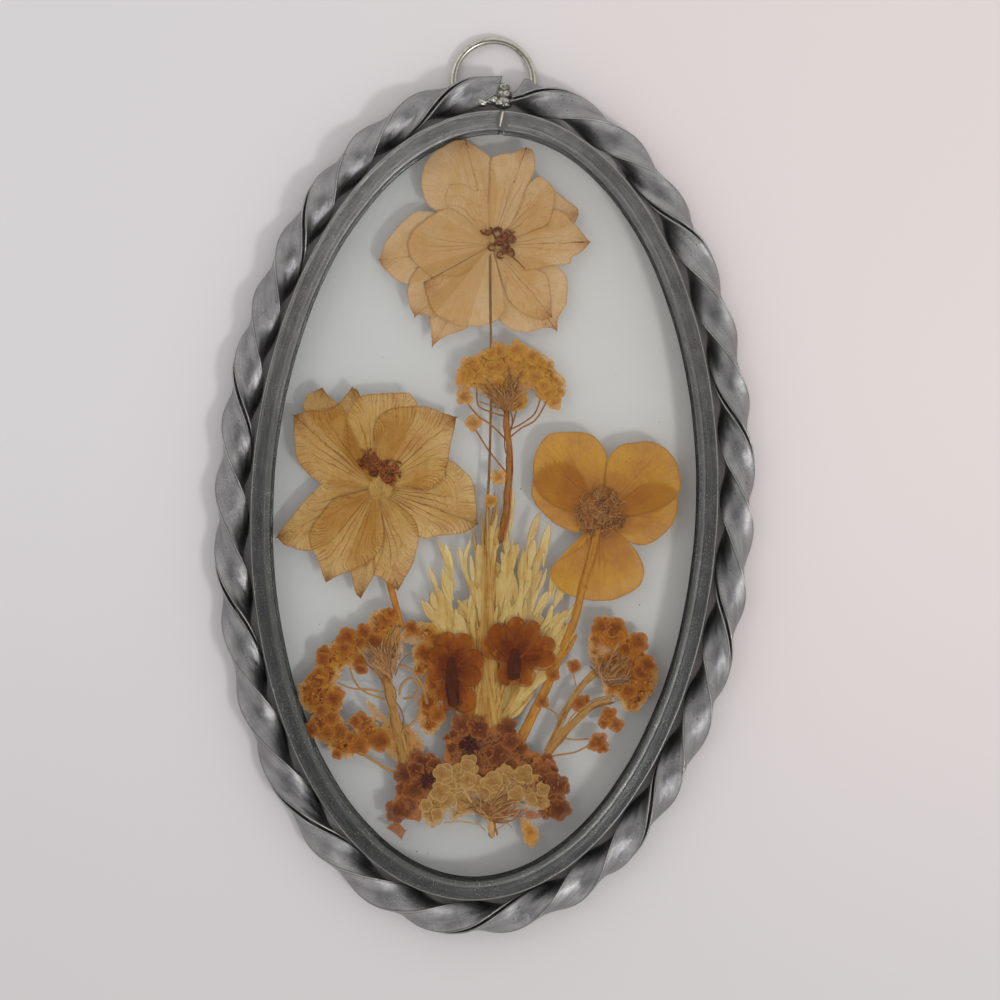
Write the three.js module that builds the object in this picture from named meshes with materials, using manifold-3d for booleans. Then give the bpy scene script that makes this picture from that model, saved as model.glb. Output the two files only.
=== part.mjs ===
// A pressed flower frame: dried flowers between two oval panes of glass, held by a
// U-shaped lead came, with a second came twisted into a rope round it and a wire
// ring to hang it by. It lies on its back: +Z is the viewer's side, +Y is the top.

import * as THREE from 'three';
import { mergeVertices } from 'three/addons/utils/BufferGeometryUtils.js';
import Module from 'manifold-3d';

// ---- Driving dimensions, in millimetres ----

const OVAL_HALF_WIDTH = 38.75; // to the outer edge of the inner came
const OVAL_HALF_HEIGHT = 65.5;

const PANE = 1.8; // thickness of one sheet of glass
const PRESS_GAP = 1.2; // between the two panes
const FLANGE = 0.75; // thickness of the came's two flanges
const FLANGE_REACH = 3.5; // how far the flanges lie over the glass
const WEB = 0.9; // thickness of the came's outer wall
const SLACK = 0.3; // round the panes' edge
const CAME_HEIGHT = 2 * (PANE + FLANGE) + PRESS_GAP;

const ROPE_RADIUS = 3.05; // to the corners of the twisted came
const ROPE_OFFSET = 3.36; // its middle line, outside the oval
const ROPE_MIDDLE = 3.15; // height of its middle line
const ROPE_ENDS_GAP = 1.6;
const TURNS = 10.45; // full turns in one lap
const FIRST_SLOT = 0.031; // part of the lap before its slot first faces up
const TIGHTER_START = 0.18; // turns gained early in the first half lap

const WIRE = 1.2; // diameter of the ring's wire
const RING_RADIUS = 6.65; // to the middle of the wire
const RING_TURN = 252; // degrees of the ring that show above its solder
const RING_CENTRE = [-1.7, 71.2];
const RING_HEIGHT = 1.1;

const SHEET = 0.13; // thickness of a pressed petal or stem
const LAYER = 0.15; // from one pressed layer to the next

const CAME_STEPS = 52;
const ROPE_STEPS = 110;
const PANE_SIDES = 36;

const GAP_FLOOR = FLANGE + PANE;
const rad = THREE.MathUtils.degToRad;

// ---- Materials ----

const surface = (color, roughness, metalness) =>
  new THREE.MeshStandardMaterial({ color, roughness, metalness });

const glass = () => {
  const clear = surface(0xdfe8ea, 0.05, 0);
  clear.transparent = true;
  clear.opacity = 0.3;
  return clear;
};
const lead = () => surface(0x6c6d72, 0.45, 0.9);
const solder = () => surface(0xa9a89f, 0.3, 0.95);
const ringWire = () => surface(0xb8b29a, 0.25, 1);
const palePetal = () => surface(0xdeb87a, 0.75, 0);
const goldenPetal = () => surface(0xcf9f54, 0.75, 0);
const amberPetal = () => surface(0xc08426, 0.7, 0);
const stamen = () => surface(0x7c4630, 0.8, 0);
const dryStem = () => surface(0xa97534, 0.8, 0);
const alyssum = () => surface(0xb98238, 0.85, 0);
const creamBud = () => surface(0xdfc585, 0.75, 0);
const brownPetal = () => surface(0x7b4216, 0.8, 0);
const tanPetal = () => surface(0xc79c5e, 0.85, 0);

// ---- The oval and what is bent round it ----

// A closed curve parallel to the inner came's outer edge and `out` outside it. It
// starts at the top and runs anticlockwise, seen from the front.
class OvalCurve extends THREE.Curve {
  constructor(out) {
    super();
    this.out = out;
    this.arcLengthDivisions = 720;
  }

  getPoint(t, target = new THREE.Vector3()) {
    const around = Math.PI / 2 + 2 * Math.PI * t;
    const x = OVAL_HALF_WIDTH * Math.cos(around);
    const y = OVAL_HALF_HEIGHT * Math.sin(around);
    const normal = new THREE.Vector2(x / OVAL_HALF_WIDTH ** 2, y / OVAL_HALF_HEIGHT ** 2);
    normal.normalize().multiplyScalar(this.out);
    return target.set(x + normal.x, y + normal.y, 0);
  }
}

// A straight extrusion of `section` bent along the oval from one part of the lap to
// another. The section is drawn with height along x and outward along y, and
// `turnAt` gives the angle that it is turned by at each part of the lap.
function bendAlong(section, out, middle, [from, to], steps, turnAt = () => 0) {
  const curve = new OvalCurve(out);
  const bar = new THREE.ExtrudeGeometry(section, { depth: 1, steps, bevelEnabled: false });
  const position = bar.getAttribute('position');
  const point = new THREE.Vector3();
  for (let i = 0; i < position.count; i += 1) {
    point.fromBufferAttribute(position, i);
    const lap = from + (to - from) * point.z;
    const turn = turnAt(lap);
    const up = point.x * Math.cos(turn) - point.y * Math.sin(turn);
    const away = point.x * Math.sin(turn) + point.y * Math.cos(turn);
    const place = THREE.MathUtils.euclideanModulo(lap, 1);
    const along = curve.getTangentAt(place);
    curve.getPointAt(place, point);
    position.setXYZ(i, point.x + along.y * away, point.y - along.x * away, middle + up);
  }
  return bar;
}

const polygon = (corners) => new THREE.Shape(corners.map(([x, y]) => new THREE.Vector2(x, y)));
const polar = (radius, degrees) => [
  radius * Math.cos(rad(degrees)),
  radius * Math.sin(rad(degrees)),
];

// The inner came: a U whose two flanges reach inward over the panes, with its outer
// corners broken and a lip rolled along each flange's inner edge.
function cameSection() {
  const edge = 0.3;
  const half = [
    [CAME_HEIGHT / 2 - edge, 0],
    [CAME_HEIGHT / 2, -edge],
    [CAME_HEIGHT / 2, edge - FLANGE_REACH],
    [CAME_HEIGHT / 2 - edge, -FLANGE_REACH],
    [CAME_HEIGHT / 2 - FLANGE, -FLANGE_REACH],
    [CAME_HEIGHT / 2 - FLANGE, -WEB],
  ];
  const mirrored = half.map(([up, away]) => [-up, away]).reverse();
  return polygon([...half, ...mirrored].reverse());
}

// The rope came's section: a U squeezed shut, so three bulging faces and an open slot
// at the corner where its two edges meet.
function ropeSection() {
  const bulge = 0.66 * ROPE_RADIUS;
  const slotHalf = 0.22;
  const half = [
    [0.3 * ROPE_RADIUS, 1.6 * slotHalf],
    [0.97 * ROPE_RADIUS, slotHalf],
    polar(bulge, 62),
    polar(ROPE_RADIUS, 120),
  ];
  const mirrored = half.map(([x, y]) => [x, -y]).reverse();
  return polygon([...half, [-bulge, 0], ...mirrored]);
}

// The slot turns away from the viewer towards the outside as the lap goes on, a
// little faster through the first half lap, as it was twisted by hand.
function ropeTurn(lap) {
  const firstHalf = Math.min(2 * lap, 1);
  const early = TIGHTER_START * Math.sin(Math.PI * firstHalf) ** 2;
  return -2 * Math.PI * (TURNS * (lap - FIRST_SLOT) + early);
}

// ---- Solids ----

const wasm = await Module();
wasm.setup();

function toSolid(geometry) {
  const bare = geometry.clone();
  bare.deleteAttribute('normal');
  bare.deleteAttribute('uv');
  const merged = mergeVertices(bare);
  return new wasm.Manifold(
    new wasm.Mesh({
      numProp: 3,
      vertProperties: merged.getAttribute('position').array,
      triVerts: new Uint32Array(merged.index.array),
    }),
  );
}

function toGeometry(solid) {
  const mesh = solid.getMesh();
  const geometry = new THREE.BufferGeometry();
  geometry.setAttribute('position', new THREE.BufferAttribute(mesh.vertProperties, 3));
  geometry.setIndex(new THREE.BufferAttribute(mesh.triVerts, 1));
  geometry.computeVertexNormals();
  return geometry;
}

const fuse = (geometries) =>
  toGeometry(geometries.map(toSolid).reduce((whole, next) => whole.add(next)));

// A flat outline as one pressed sheet, in its layer counted up from the back pane.
function pressed(shape, layer) {
  const sheet = new THREE.ExtrudeGeometry(shape, { depth: SHEET, bevelEnabled: false });
  return sheet.translate(0, 0, GAP_FLOOR + LAYER * (layer + 0.5) - SHEET / 2);
}

// ---- Outlines of the pressed pieces ----

// A petal grows from `start` beyond the hub. At the part t of its length its half
// width is half of `width` times sin(pi t^belly)^blunt.
function petalOutline(hub, petal) {
  const { angle, length, width, belly = 1.5, blunt = 0.7, start = 1, stations = 6 } = petal;
  const axis = new THREE.Vector2(Math.cos(rad(angle)), Math.sin(rad(angle)));
  const side = (sign) =>
    Array.from({ length: stations }, (_, i) => {
      const t = sign > 0 ? i / stations : 1 - i / stations;
      const along = start + (length - start) * t;
      const bow = Math.max(Math.sin(Math.PI * t ** belly), 0) ** blunt;
      const across = (sign * width * bow) / 2;
      return [
        hub[0] + axis.x * along + axis.y * across,
        hub[1] + axis.y * along - axis.x * across,
      ];
    });
  return polygon([...side(-1).reverse(), ...side(1).reverse()].reverse());
}

// A stem follows a smooth curve through its points and tapers from end to end.
function stemOutline(points, [wide, thin]) {
  const curve = new THREE.SplineCurve(points.map(([x, y]) => new THREE.Vector2(x, y)));
  const steps = points.length > 2 ? 2 * points.length - 2 : 1;
  const edge = (sign) =>
    Array.from({ length: steps + 1 }, (_, i) => {
      const t = i / steps;
      const half = (sign * (wide + (thin - wide) * t)) / 2;
      const point = curve.getPoint(t);
      const along = curve.getTangent(t);
      return [point.x + along.y * half, point.y - along.x * half];
    });
  return polygon([...edge(1), ...edge(-1).reverse()]);
}

// A floret or a crinkled cluster seen flat: an oval whose edge swells into lobes.
function lobedOutline([x, y], [across, up], points, depth, lobes = points) {
  const edge = Array.from({ length: points }, (_, i) => {
    const around = (2 * Math.PI * i) / points;
    const swell = 1 - depth * (0.5 + 0.5 * Math.cos(lobes * around));
    return [x + across * swell * Math.cos(around), y + up * swell * Math.sin(around)];
  });
  return polygon(edge);
}

const discOutline = (centre, radius) => lobedOutline(centre, [radius, radius], 6, 0);

// ---- The frame ----

function paneGeometry(height) {
  const edge = new OvalCurve(-WEB - SLACK).getSpacedPoints(PANE_SIDES).slice(1);
  const pane = new THREE.ExtrudeGeometry(polygon(edge.map((p) => [p.x, p.y])), {
    depth: PANE,
    bevelEnabled: false,
  });
  return pane.translate(0, 0, height);
}

function ringArc(thickness) {
  const turn = rad(RING_TURN);
  const sides = 8;
  const steps = 20;
  const arc = new THREE.TorusGeometry(RING_RADIUS, thickness / 2, sides, steps, turn);
  const capped = capTube(arc, sides, steps);
  return capped.rotateZ(Math.PI / 2 - turn / 2).translate(...RING_CENTRE, RING_HEIGHT);
}

// Closes both ends of a part torus with a fan of triangles.
function capTube(torus, sides, steps) {
  const index = Array.from(torus.index.array);
  const at = (side, step) => side * (steps + 1) + step;
  for (let side = 1; side < sides - 1; side += 1) {
    index.push(at(0, 0), at(side, 0), at(side + 1, 0));
    index.push(at(0, steps), at(side + 1, steps), at(side, steps));
  }
  const closed = new THREE.BufferGeometry();
  closed.setAttribute('position', torus.getAttribute('position'));
  closed.setIndex(index);
  return closed;
}

function ropeGeometry() {
  const lap = new OvalCurve(ROPE_OFFSET).getLength();
  const trim = ROPE_ENDS_GAP / 2 / lap;
  const rope = bendAlong(
    ropeSection(), ROPE_OFFSET, ROPE_MIDDLE, [trim, 1 - trim], ROPE_STEPS, ropeTurn,
  );
  const clearance = 0.3;
  return toGeometry(toSolid(rope).subtract(toSolid(ringArc(WIRE + 2 * clearance))));
}

const frame = new THREE.Group();

function add(name, geometry, material) {
  const mesh = new THREE.Mesh(geometry, material);
  mesh.name = name;
  frame.add(mesh);
}

const seam = 0.0008; // part of the lap left open between the inner came's ends
add('glass_back', paneGeometry(FLANGE), glass());
add('glass_front', paneGeometry(FLANGE + PANE + PRESS_GAP), glass());
add('came', bendAlong(cameSection(), 0, CAME_HEIGHT / 2, [seam, 1 - seam], CAME_STEPS), lead());
add('twisted_came', ropeGeometry(), lead());
add('hanging_ring', ringArc(WIRE), ringWire());

// A thin skin of solder over the seam of the inner came's front face.
const padHalf = 0.008;
const padSkin = polygon([[0, -3.1], [0.2, -2.8], [0.2, -0.8], [0, -0.5]]);
add('came_solder', bendAlong(padSkin, 0, CAME_HEIGHT, [1 - padHalf, 1 + padHalf], 4), solder());

// The lump of solder between the rope's two ends.
const lump = new THREE.SphereGeometry(1, 10, 6).scale(0.7, 1.7, 1.6);
add('rope_solder', lump.translate(0, OVAL_HALF_HEIGHT + ROPE_OFFSET + 0.2, 3.6), solder());

// ---- The pressed flowers ----

// Each petal states its direction from the hub in degrees, its size and its layer.
function addPetals(name, hub, petals, material) {
  petals.forEach((petal, i) => {
    add(`${name}_petal_${i + 1}`, pressed(petalOutline(hub, petal), petal.layer), material());
  });
}

// Stamens: thin filaments fanned from the hub, each ending in an anther.
function stamenGeometry(hub, layer, reach, count, spread = 360, facing = 0) {
  const parts = [pressed(discOutline(hub, 1), layer)];
  for (let i = 0; i < count; i += 1) {
    const angle = facing - spread / 2 + (spread * (i + 0.5)) / count;
    const [dx, dy] = polar(reach * (i % 2 ? 0.75 : 1), angle);
    const tip = [hub[0] + dx, hub[1] + dy];
    parts.push(pressed(stemOutline([hub, tip], [0.3, 0.25]), layer));
    parts.push(pressed(lobedOutline(tip, [0.5, 0.5], 4, 0), layer));
  }
  return fuse(parts);
}

const TOP_LARKSPUR = [-0.7, 43.3];
addPetals('larkspur_top', TOP_LARKSPUR, [
  { angle: 114, length: 18.1, width: 12.5, blunt: 0.55, layer: 2 },
  { angle: 73, length: 17.3, width: 10.5, layer: 4 },
  { angle: 45, length: 13.8, width: 10.5, blunt: 0.55, layer: 3 },
  { angle: 23, length: 15.6, width: 9, layer: 0 },
  { angle: 4, length: 16.3, width: 10, layer: 2 },
  { angle: -55, length: 16.8, width: 12.5, blunt: 0.5, belly: 1.9, layer: 0 },
  { angle: -111, length: 14.4, width: 13, blunt: 0.45, layer: 4 },
  { angle: -119, length: 19.3, width: 8, layer: 0 },
  { angle: -140, length: 17.6, width: 9, layer: 2 },
  { angle: -178, length: 13.8, width: 11, blunt: 0.5, layer: 3 },
  { angle: -170, length: 19, width: 9.5, layer: 0 },
], palePetal);
add('larkspur_top_stamens', stamenGeometry(TOP_LARKSPUR, 5, 3.4, 5), stamen());
const topStem = [[-1, 42], [-0.1, 26.4], [0.3, 17.6], [0.5, 1.8], [0.2, -21]];
add('larkspur_top_stem', pressed(stemOutline(topStem, [0.5, 0.6]), 1), dryStem());

const LEFT_LARKSPUR = [-18.2, 2.1];
addPetals('larkspur_left', LEFT_LARKSPUR, [
  { angle: 146, length: 16.4, width: 13.5, blunt: 0.5, belly: 1.9, layer: 3 },
  { angle: 122, length: 19, width: 8, layer: 1 },
  { angle: 88, length: 16.2, width: 12.5, blunt: 0.5, layer: 2 },
  { angle: 42, length: 16.5, width: 14, blunt: 0.5, belly: 1.7, layer: 3 },
  { angle: -17, length: 18.1, width: 11.5, layer: 1 },
  { angle: -76, length: 17.7, width: 8.5, layer: 2 },
  { angle: -95, length: 18.5, width: 7.5, layer: 1 },
  { angle: -112, length: 16.5, width: 12.3, blunt: 0.6, layer: 3 },
  { angle: -151, length: 18.6, width: 10, layer: 1 },
], goldenPetal);
const leftStamens = [-18, 4.6];
add('larkspur_left_stamens', stamenGeometry(leftStamens, 4, 3, 5), stamen());
const leftStem = [[-15.4, -13], [-13.6, -18.7], [-12.7, -21.3]];
add('larkspur_left_stem', pressed(stemOutline(leftStem, [1.2, 1]), 0), dryStem());

const BUTTERCUP = [19.3, -0.7];
addPetals('buttercup', BUTTERCUP, [
  { angle: 119, length: 14.9, width: 14, blunt: 0.4, layer: 3 },
  { angle: 53, length: 14.8, width: 14, blunt: 0.4, layer: 4 },
  { angle: -2, length: 13.3, width: 11.5, blunt: 0.4, layer: 2 },
  { angle: -89, length: 14.2, width: 15.5, blunt: 0.55, belly: 1.9, layer: 3 },
  { angle: 163, length: 11.7, width: 11.5, blunt: 0.4, layer: 2 },
], amberPetal);
add('buttercup_stamens', stamenGeometry([19.6, 1], 5, 4, 6), stamen());
const buttercupStem = [[19, -5], [17.2, -10.8], [15.9, -17.4], [14.5, -23.5], [8.4, -37.9]];
add('buttercup_stem', pressed(stemOutline(buttercupStem, [1.3, 1.7]), 1), dryStem());

// An alyssum: florets [x, y, radius] at the tips of pedicels that leave one stem, and
// all of it is one growth, fused.
function alyssumGeometry(layer, stem, stemWidths, pedicels, florets) {
  return fuse([
    pressed(stemOutline(stem, stemWidths), layer),
    ...pedicels.map((pedicel) => pressed(stemOutline(pedicel, [0.5, 0.4]), layer)),
    ...florets.map(([x, y, radius]) => pressed(discOutline([x, y], radius), layer)),
  ]);
}

// Florets along an arc, from one angle to another, on an oval.
function floretArc([x, y], [across, up], [from, to], count, radius) {
  return Array.from({ length: count }, (_, i) => {
    const around = rad(from + ((to - from) * i) / (count - 1));
    return [x + across * Math.cos(around), y + up * Math.sin(around), radius];
  });
}

add('alyssum_top', alyssumGeometry(
  2,
  [[3.1, 16], [3.5, 12.3], [3.9, 7.1], [3.7, -2.4], [3.2, -5.9]],
  [1, 1.3],
  [
    [[3.4, 11.4], [-3.3, 16.6], [-4.2, 17.9]],
    [[3.8, 5.5], [-1.8, 11.8], [-2.7, 13.5]],
    [[4, 12], [8.4, 18.3]],
    [[3.2, 14.5], [-2.2, 20]],
    [[3.4, 15], [3.8, 21]],
    [[3.9, 5], [0.7, 1.1]],
  ],
  [
    ...floretArc([3.5, 20], [7.9, 5], [-12, 192], 7, 2.8),
    ...floretArc([3.5, 19.8], [2.4, 2.4], [0, 180], 2, 2.8),
    [-4.2, 17.9, 1.5], [-2.7, 13.5, 1.6], [8.6, 18.6, 1.5], [0.7, 1.1, 1.4],
  ],
), alyssum());

add('alyssum_left', alyssumGeometry(
  2,
  [[-13.3, -20.5], [-14.9, -30.6], [-13.8, -36.6], [-11.5, -43.6]],
  [0.9, 1.8],
  [
    [[-14.9, -31], [-19, -30.6], [-23.4, -30.5]],
    [[-14, -36.6], [-17.8, -36.6], [-22.3, -36.9]],
    [[-12.5, -43], [-14.5, -44.4], [-19.2, -42.1]],
    [[-14.6, -29], [-17, -24], [-19.5, -22]],
    [[-14.2, -34], [-9.5, -36.4]],
    [[-14, -35.6], [-17.7, -38.9]],
  ],
  [
    ...floretArc([-15.5, -30.5], [9.8, 10], [100, 236], 7, 2.5),
    ...floretArc([-15, -29], [6.4, 6.8], [96, 146], 2, 2.4),
    [-10, -20.9, 1.7], [-12.6, -22.4, 1.8], [-17.7, -38.9, 1.4], [-8.3, -36.3, 1.4],
  ],
), alyssum());

add('alyssum_right', alyssumGeometry(
  2,
  [[21.4, -29.5], [16.8, -35], [12.3, -41.4]],
  [1.1, 1.6],
  [
    [[14.8, -38.1], [19, -38.1], [21.5, -36]],
    [[12.6, -41.2], [17.1, -40.5], [19.6, -38.9]],
    [[16.4, -35.4], [16.9, -31], [16.3, -26]],
    [[21, -30], [26, -31.5]],
    [[21.2, -29.8], [22.5, -23]],
  ],
  [
    ...floretArc([24, -25.6], [4.4, 5.5], [-70, 205], 7, 2.8),
    [23.5, -25.4, 3.4], [22.6, -35.2, 2], [20.8, -38.2, 1.6], [16.2, -25.7, 1.2], [17.4, -32.7, 1.6],
  ],
), alyssum());

// The tan head lies across the base with its stems gathered below it.
add('alyssum_front', alyssumGeometry(
  6,
  [[2.6, -47], [3, -51], [3.3, -55]],
  [1.6, 0.8],
  [
    [[3, -52], [-5, -46]],
    [[3, -52], [10, -47]],
    [[3.1, -53], [-5.5, -50.5]],
  ],
  [
    ...floretArc([2.6, -49.5], [9.2, 5.4], [-14, 200], 7, 2.4),
    [0.6, -46.4, 2], [4.6, -46.6, 2],
  ],
), tanPetal());

// The cream spray: slender buds fanned from one root, on a bundle of long stems.
function sprayGeometry() {
  const root = [0.8, -23];
  const parts = [pressed(stemOutline([[0.2, 0.5], root, [2, -36]], [0.9, 2.2]), 0)];
  const buds = 9;
  for (let i = 0; i < buds; i += 1) {
    const angle = 42 + (93 * i) / (buds - 1);
    const reach = 11.5 + 4.5 * Math.sin(2.4 * i) + (angle < 75 ? 5 : 0);
    const [dx, dy] = polar(reach, angle);
    const bud = petalOutline([root[0] + dx, root[1] + dy], {
      angle, length: 4, width: 1.4, start: -1.5, stations: 3,
    });
    parts.push(pressed(bud, 0));
    parts.push(pressed(stemOutline([root, [root[0] + dx, root[1] + dy]], [0.5, 0.4]), 0));
  }
  return fuse(parts);
}
add('cream_spray', sprayGeometry(), creamBud());

// Two small brown florets: a ring of rounded petals over a dark calyx.
function brownFloretGeometry(centre, size, layer, tubeEnd) {
  return fuse([
    pressed(lobedOutline(centre, size, 16, 0.28, 8), layer),
    pressed(stemOutline([centre, tubeEnd], [3.2, 2.2]), layer),
  ]);
}
add('brown_floret_left', brownFloretGeometry([-4.2, -27.4], [4.4, 5], 5, [-3.2, -34]), brownPetal());
add('brown_floret_right', brownFloretGeometry([6.6, -24], [5.6, 4.8], 6, [7, -29]), brownPetal());

// The crinkled dark clusters heaped at the base.
const cluster = (centre, size, layer) => pressed(lobedOutline(centre, size, 18, 0.14, 9), layer);
add('brown_cluster_middle', cluster([3.2, -40.6], [8.6, 4.8], 4), brownPetal());
add('brown_cluster_left', cluster([-9.6, -48.2], [3.6, 5.8], 5), brownPetal());
add('brown_cluster_right', cluster([12.6, -46.6], [2.9, 5.2], 5), brownPetal());

add('loose_floret', pressed(lobedOutline([9.8, -53.9], [1.5, 1.5], 10, 0.2, 5), 0), tanPetal());
const fragment = polygon([[-14, -54.4], [-11.3, -56.1], [-10.7, -54.6], [-12.6, -53.2]]);
add('petal_fragment', pressed(fragment, 0), brownPetal());

// The frame rests on the inner came's back, with its middle over the origin.
const box = new THREE.Box3().setFromObject(frame);
const middle = box.getCenter(new THREE.Vector3());
frame.position.set(-middle.x, -middle.y, 0);

const part = new THREE.Group();
part.add(frame);

export default part;
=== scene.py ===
"""Pressed flower frame: dried flowers between two oval panes, in lead came and a lead rope.

Laid out as a Blender add-on and run as a script. Sizes and places in the tables below are
millimetres from the middle of the inner came, with +Y to the top of the frame and +Z to
the viewer. Every piece is worked out with numpy as a surface of two parameters.
"""

import bmesh
import bpy
import numpy as np
from bpy.props import FloatProperty, FloatVectorProperty, PointerProperty
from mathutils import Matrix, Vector


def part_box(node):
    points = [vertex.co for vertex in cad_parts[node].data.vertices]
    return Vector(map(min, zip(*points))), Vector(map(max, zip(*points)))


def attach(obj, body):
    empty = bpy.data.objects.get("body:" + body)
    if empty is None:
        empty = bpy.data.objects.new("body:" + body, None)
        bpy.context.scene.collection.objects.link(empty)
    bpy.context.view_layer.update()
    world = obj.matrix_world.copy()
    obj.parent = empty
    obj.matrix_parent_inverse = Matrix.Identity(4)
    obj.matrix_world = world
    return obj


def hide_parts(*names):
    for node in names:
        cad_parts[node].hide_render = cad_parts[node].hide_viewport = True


bl_info = {
    "name": "Pressed flower frame",
    "version": (1, 0, 0),
    "blender": (4, 5, 0),
    "location": "View3D > Sidebar > Flower frame",
    "description": "Dried flowers between two oval panes, framed in twisted lead came",
    "category": "Add Mesh",
}

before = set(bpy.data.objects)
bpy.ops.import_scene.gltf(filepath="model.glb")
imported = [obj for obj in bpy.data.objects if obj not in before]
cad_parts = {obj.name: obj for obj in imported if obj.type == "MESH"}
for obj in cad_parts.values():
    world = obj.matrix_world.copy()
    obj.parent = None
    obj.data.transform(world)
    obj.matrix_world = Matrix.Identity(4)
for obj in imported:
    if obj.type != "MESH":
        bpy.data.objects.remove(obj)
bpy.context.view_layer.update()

MM = 0.001
BODY = "root"
CAME_LOW, CAME_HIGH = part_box("came")
CENTRE = (CAME_LOW + CAME_HIGH) / 2  # the flowers are placed from here

# The frame, as in the part's own source.
HALF_WIDTH = 38.75
HALF_HEIGHT = 65.5
CAME_HEIGHT = (CAME_HIGH.z - CAME_LOW.z) / MM
ROPE_OFFSET = 3.36
ROPE_MIDDLE = 3.15
ROPE_ENDS_GAP = 1.6
TURNS = 10.45
FIRST_SLOT = 0.031
TIGHTER_START = 0.18
RING_RADIUS = 6.65
RING_CENTRE = (-1.7, 71.2)
RING_HEIGHT = 1.1
RING_ARC = 252

GAP_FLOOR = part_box("glass_back")[1].z / MM  # the pressed pieces lie on the back pane
LAYER = 0.15
SHEEN = 0.12  # of dried petals, as a share of a varnished surface


def linear(red, green, blue):
    """Screen colour, 0 to 255, as the light it stands for: its power of 2.2."""
    return tuple((np.array([red, green, blue]) / 255.0) ** 2.2)


def lights(*screens):
    """Screen colours, each as the light it stands for."""
    return [linear(*screen) for screen in screens]


def level(layer):
    """Height of a pressed layer, counted up from the back pane."""
    return GAP_FLOOR + LAYER * (layer + 0.5)


# -------- settings


def colour_setting(name, description, *screen):
    """A colour that a user may change, given as a screen shows it."""
    return FloatVectorProperty(
        name=name, description=description, subtype="COLOR", size=3, default=linear(*screen)
    )


def length_setting(name, description, millimetres):
    """A length that a user may change."""
    return FloatProperty(
        name=name, description=description, unit="LENGTH", default=millimetres * MM
    )


class FrameSettings(bpy.types.PropertyGroup):
    """Sizes and finishes of the frame."""

    rope_radius: length_setting("Rope radius", "To the corners of the twisted came", 3.05)
    flange_reach: length_setting("Flange reach", "How far the came lies over the glass", 3.4)
    wire: length_setting("Ring wire", "Diameter of the hanging ring's wire", 1.2)
    came_lead: colour_setting("Came lead", "Clean lead of the inner came", 162, 161, 160)
    came_tarnish: colour_setting("Came tarnish", "Oxidised lead of the inner came", 98, 97, 96)
    rope_lead: colour_setting("Rope lead", "Clean lead of the rope", 182, 180, 179)
    rope_tarnish: colour_setting("Rope tarnish", "Oxidised lead of the rope", 104, 104, 110)
    solder: colour_setting("Solder", "Tin and lead", 196, 196, 188)
    ring: colour_setting("Ring", "Nickel plated wire", 198, 195, 182)
    glass: colour_setting("Glass", "Tint of one face of a pane", 253.2, 254.3, 253.5)


class FlowerSettings(bpy.types.PropertyGroup):
    """Colours of the pressed pieces."""

    larkspur_pale: colour_setting("Pale larkspur", "Petals of the top larkspur", 208, 173, 130)
    larkspur_gold: colour_setting("Golden larkspur", "Petals of the left larkspur", 202, 163, 98)
    buttercup: colour_setting("Buttercup", "Petals of the buttercup", 190, 138, 52)
    alyssum: colour_setting("Alyssum", "Florets of the golden alyssum head", 198, 144, 66)
    alyssum_core: colour_setting("Alyssum core", "Middles of the rusty florets", 112, 58, 26)
    tan: colour_setting("Tan alyssum", "Florets of the head across the base", 186, 144, 86)
    cream: colour_setting("Cream buds", "Buds of the spray", 230, 204, 138)
    dark: colour_setting("Dark middles", "Purple brown of the brown flowers", 60, 32, 32)
    stem: colour_setting("Stems", "Stem of the left larkspur", 178, 118, 52)
    clearness: FloatProperty(
        name="Clearness", description="Share of light that a single petal lets through",
        default=0.2, min=0, max=1, subtype="FACTOR",
    )


class StageSettings(bpy.types.PropertyGroup):
    """Floor, light and camera."""

    distance: length_setting("Camera distance", "From the camera to the frame", 400)
    view_width: length_setting("View width", "Width of the view at the frame", 166.7)
    roll: FloatProperty(
        name="Camera roll", description="Turn of the camera about its view",
        default=np.radians(2.54), subtype="ANGLE",
    )
    key: FloatProperty(
        name="Key light", description="Power of the soft key light", default=1.6, unit="POWER",
    )
    ambient: FloatProperty(
        name="Ambient light", description="Strength of the light all round", default=0.9,
    )


# -------- shader expressions


class Value:
    """A shader socket. Sums with it add the Math nodes that work them out."""

    def __init__(self, finish, socket):
        self.finish = finish
        self.socket = socket

    def math(self, operation, *others, swapped=False):
        """A Math node on this value and the others, or on them in reverse."""
        values = [self, *others][::-1 if swapped else 1]
        return self.finish.node(
            "ShaderNodeMath", {"operation": operation}, dict(enumerate(values))
        )

    def __add__(self, other):
        return self.math("ADD", other)

    __radd__ = __add__

    def __mul__(self, other):
        return self.math("MULTIPLY", other)

    __rmul__ = __mul__

    def __sub__(self, other):
        return self.math("SUBTRACT", other)

    def __rsub__(self, other):
        return self.math("SUBTRACT", other, swapped=True)

    def __abs__(self):
        return self.math("ABSOLUTE")

    def highest(self, other):
        return self.math("MAXIMUM", other)

    def output(self, number):
        """Another output of the same node."""
        return Value(self.finish, self.socket.node.outputs[number])

    def clipped(self):
        """The value kept between 0 and 1."""
        return self.finish.node("ShaderNodeClamp", {}, {"Value": self})

    def rise(self, low, high):
        """0 below low, 1 above high, and a smooth step between them."""
        return self.finish.node(
            "ShaderNodeMapRange",
            {"interpolation_type": "SMOOTHSTEP"},
            {"Value": self, "From Min": low, "From Max": high},
        )

    def line(self, middle, half):
        """1 where the value is at the middle, falling to 0 at half either side."""
        return 1 - abs(self - middle).rise(0, half)


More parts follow.
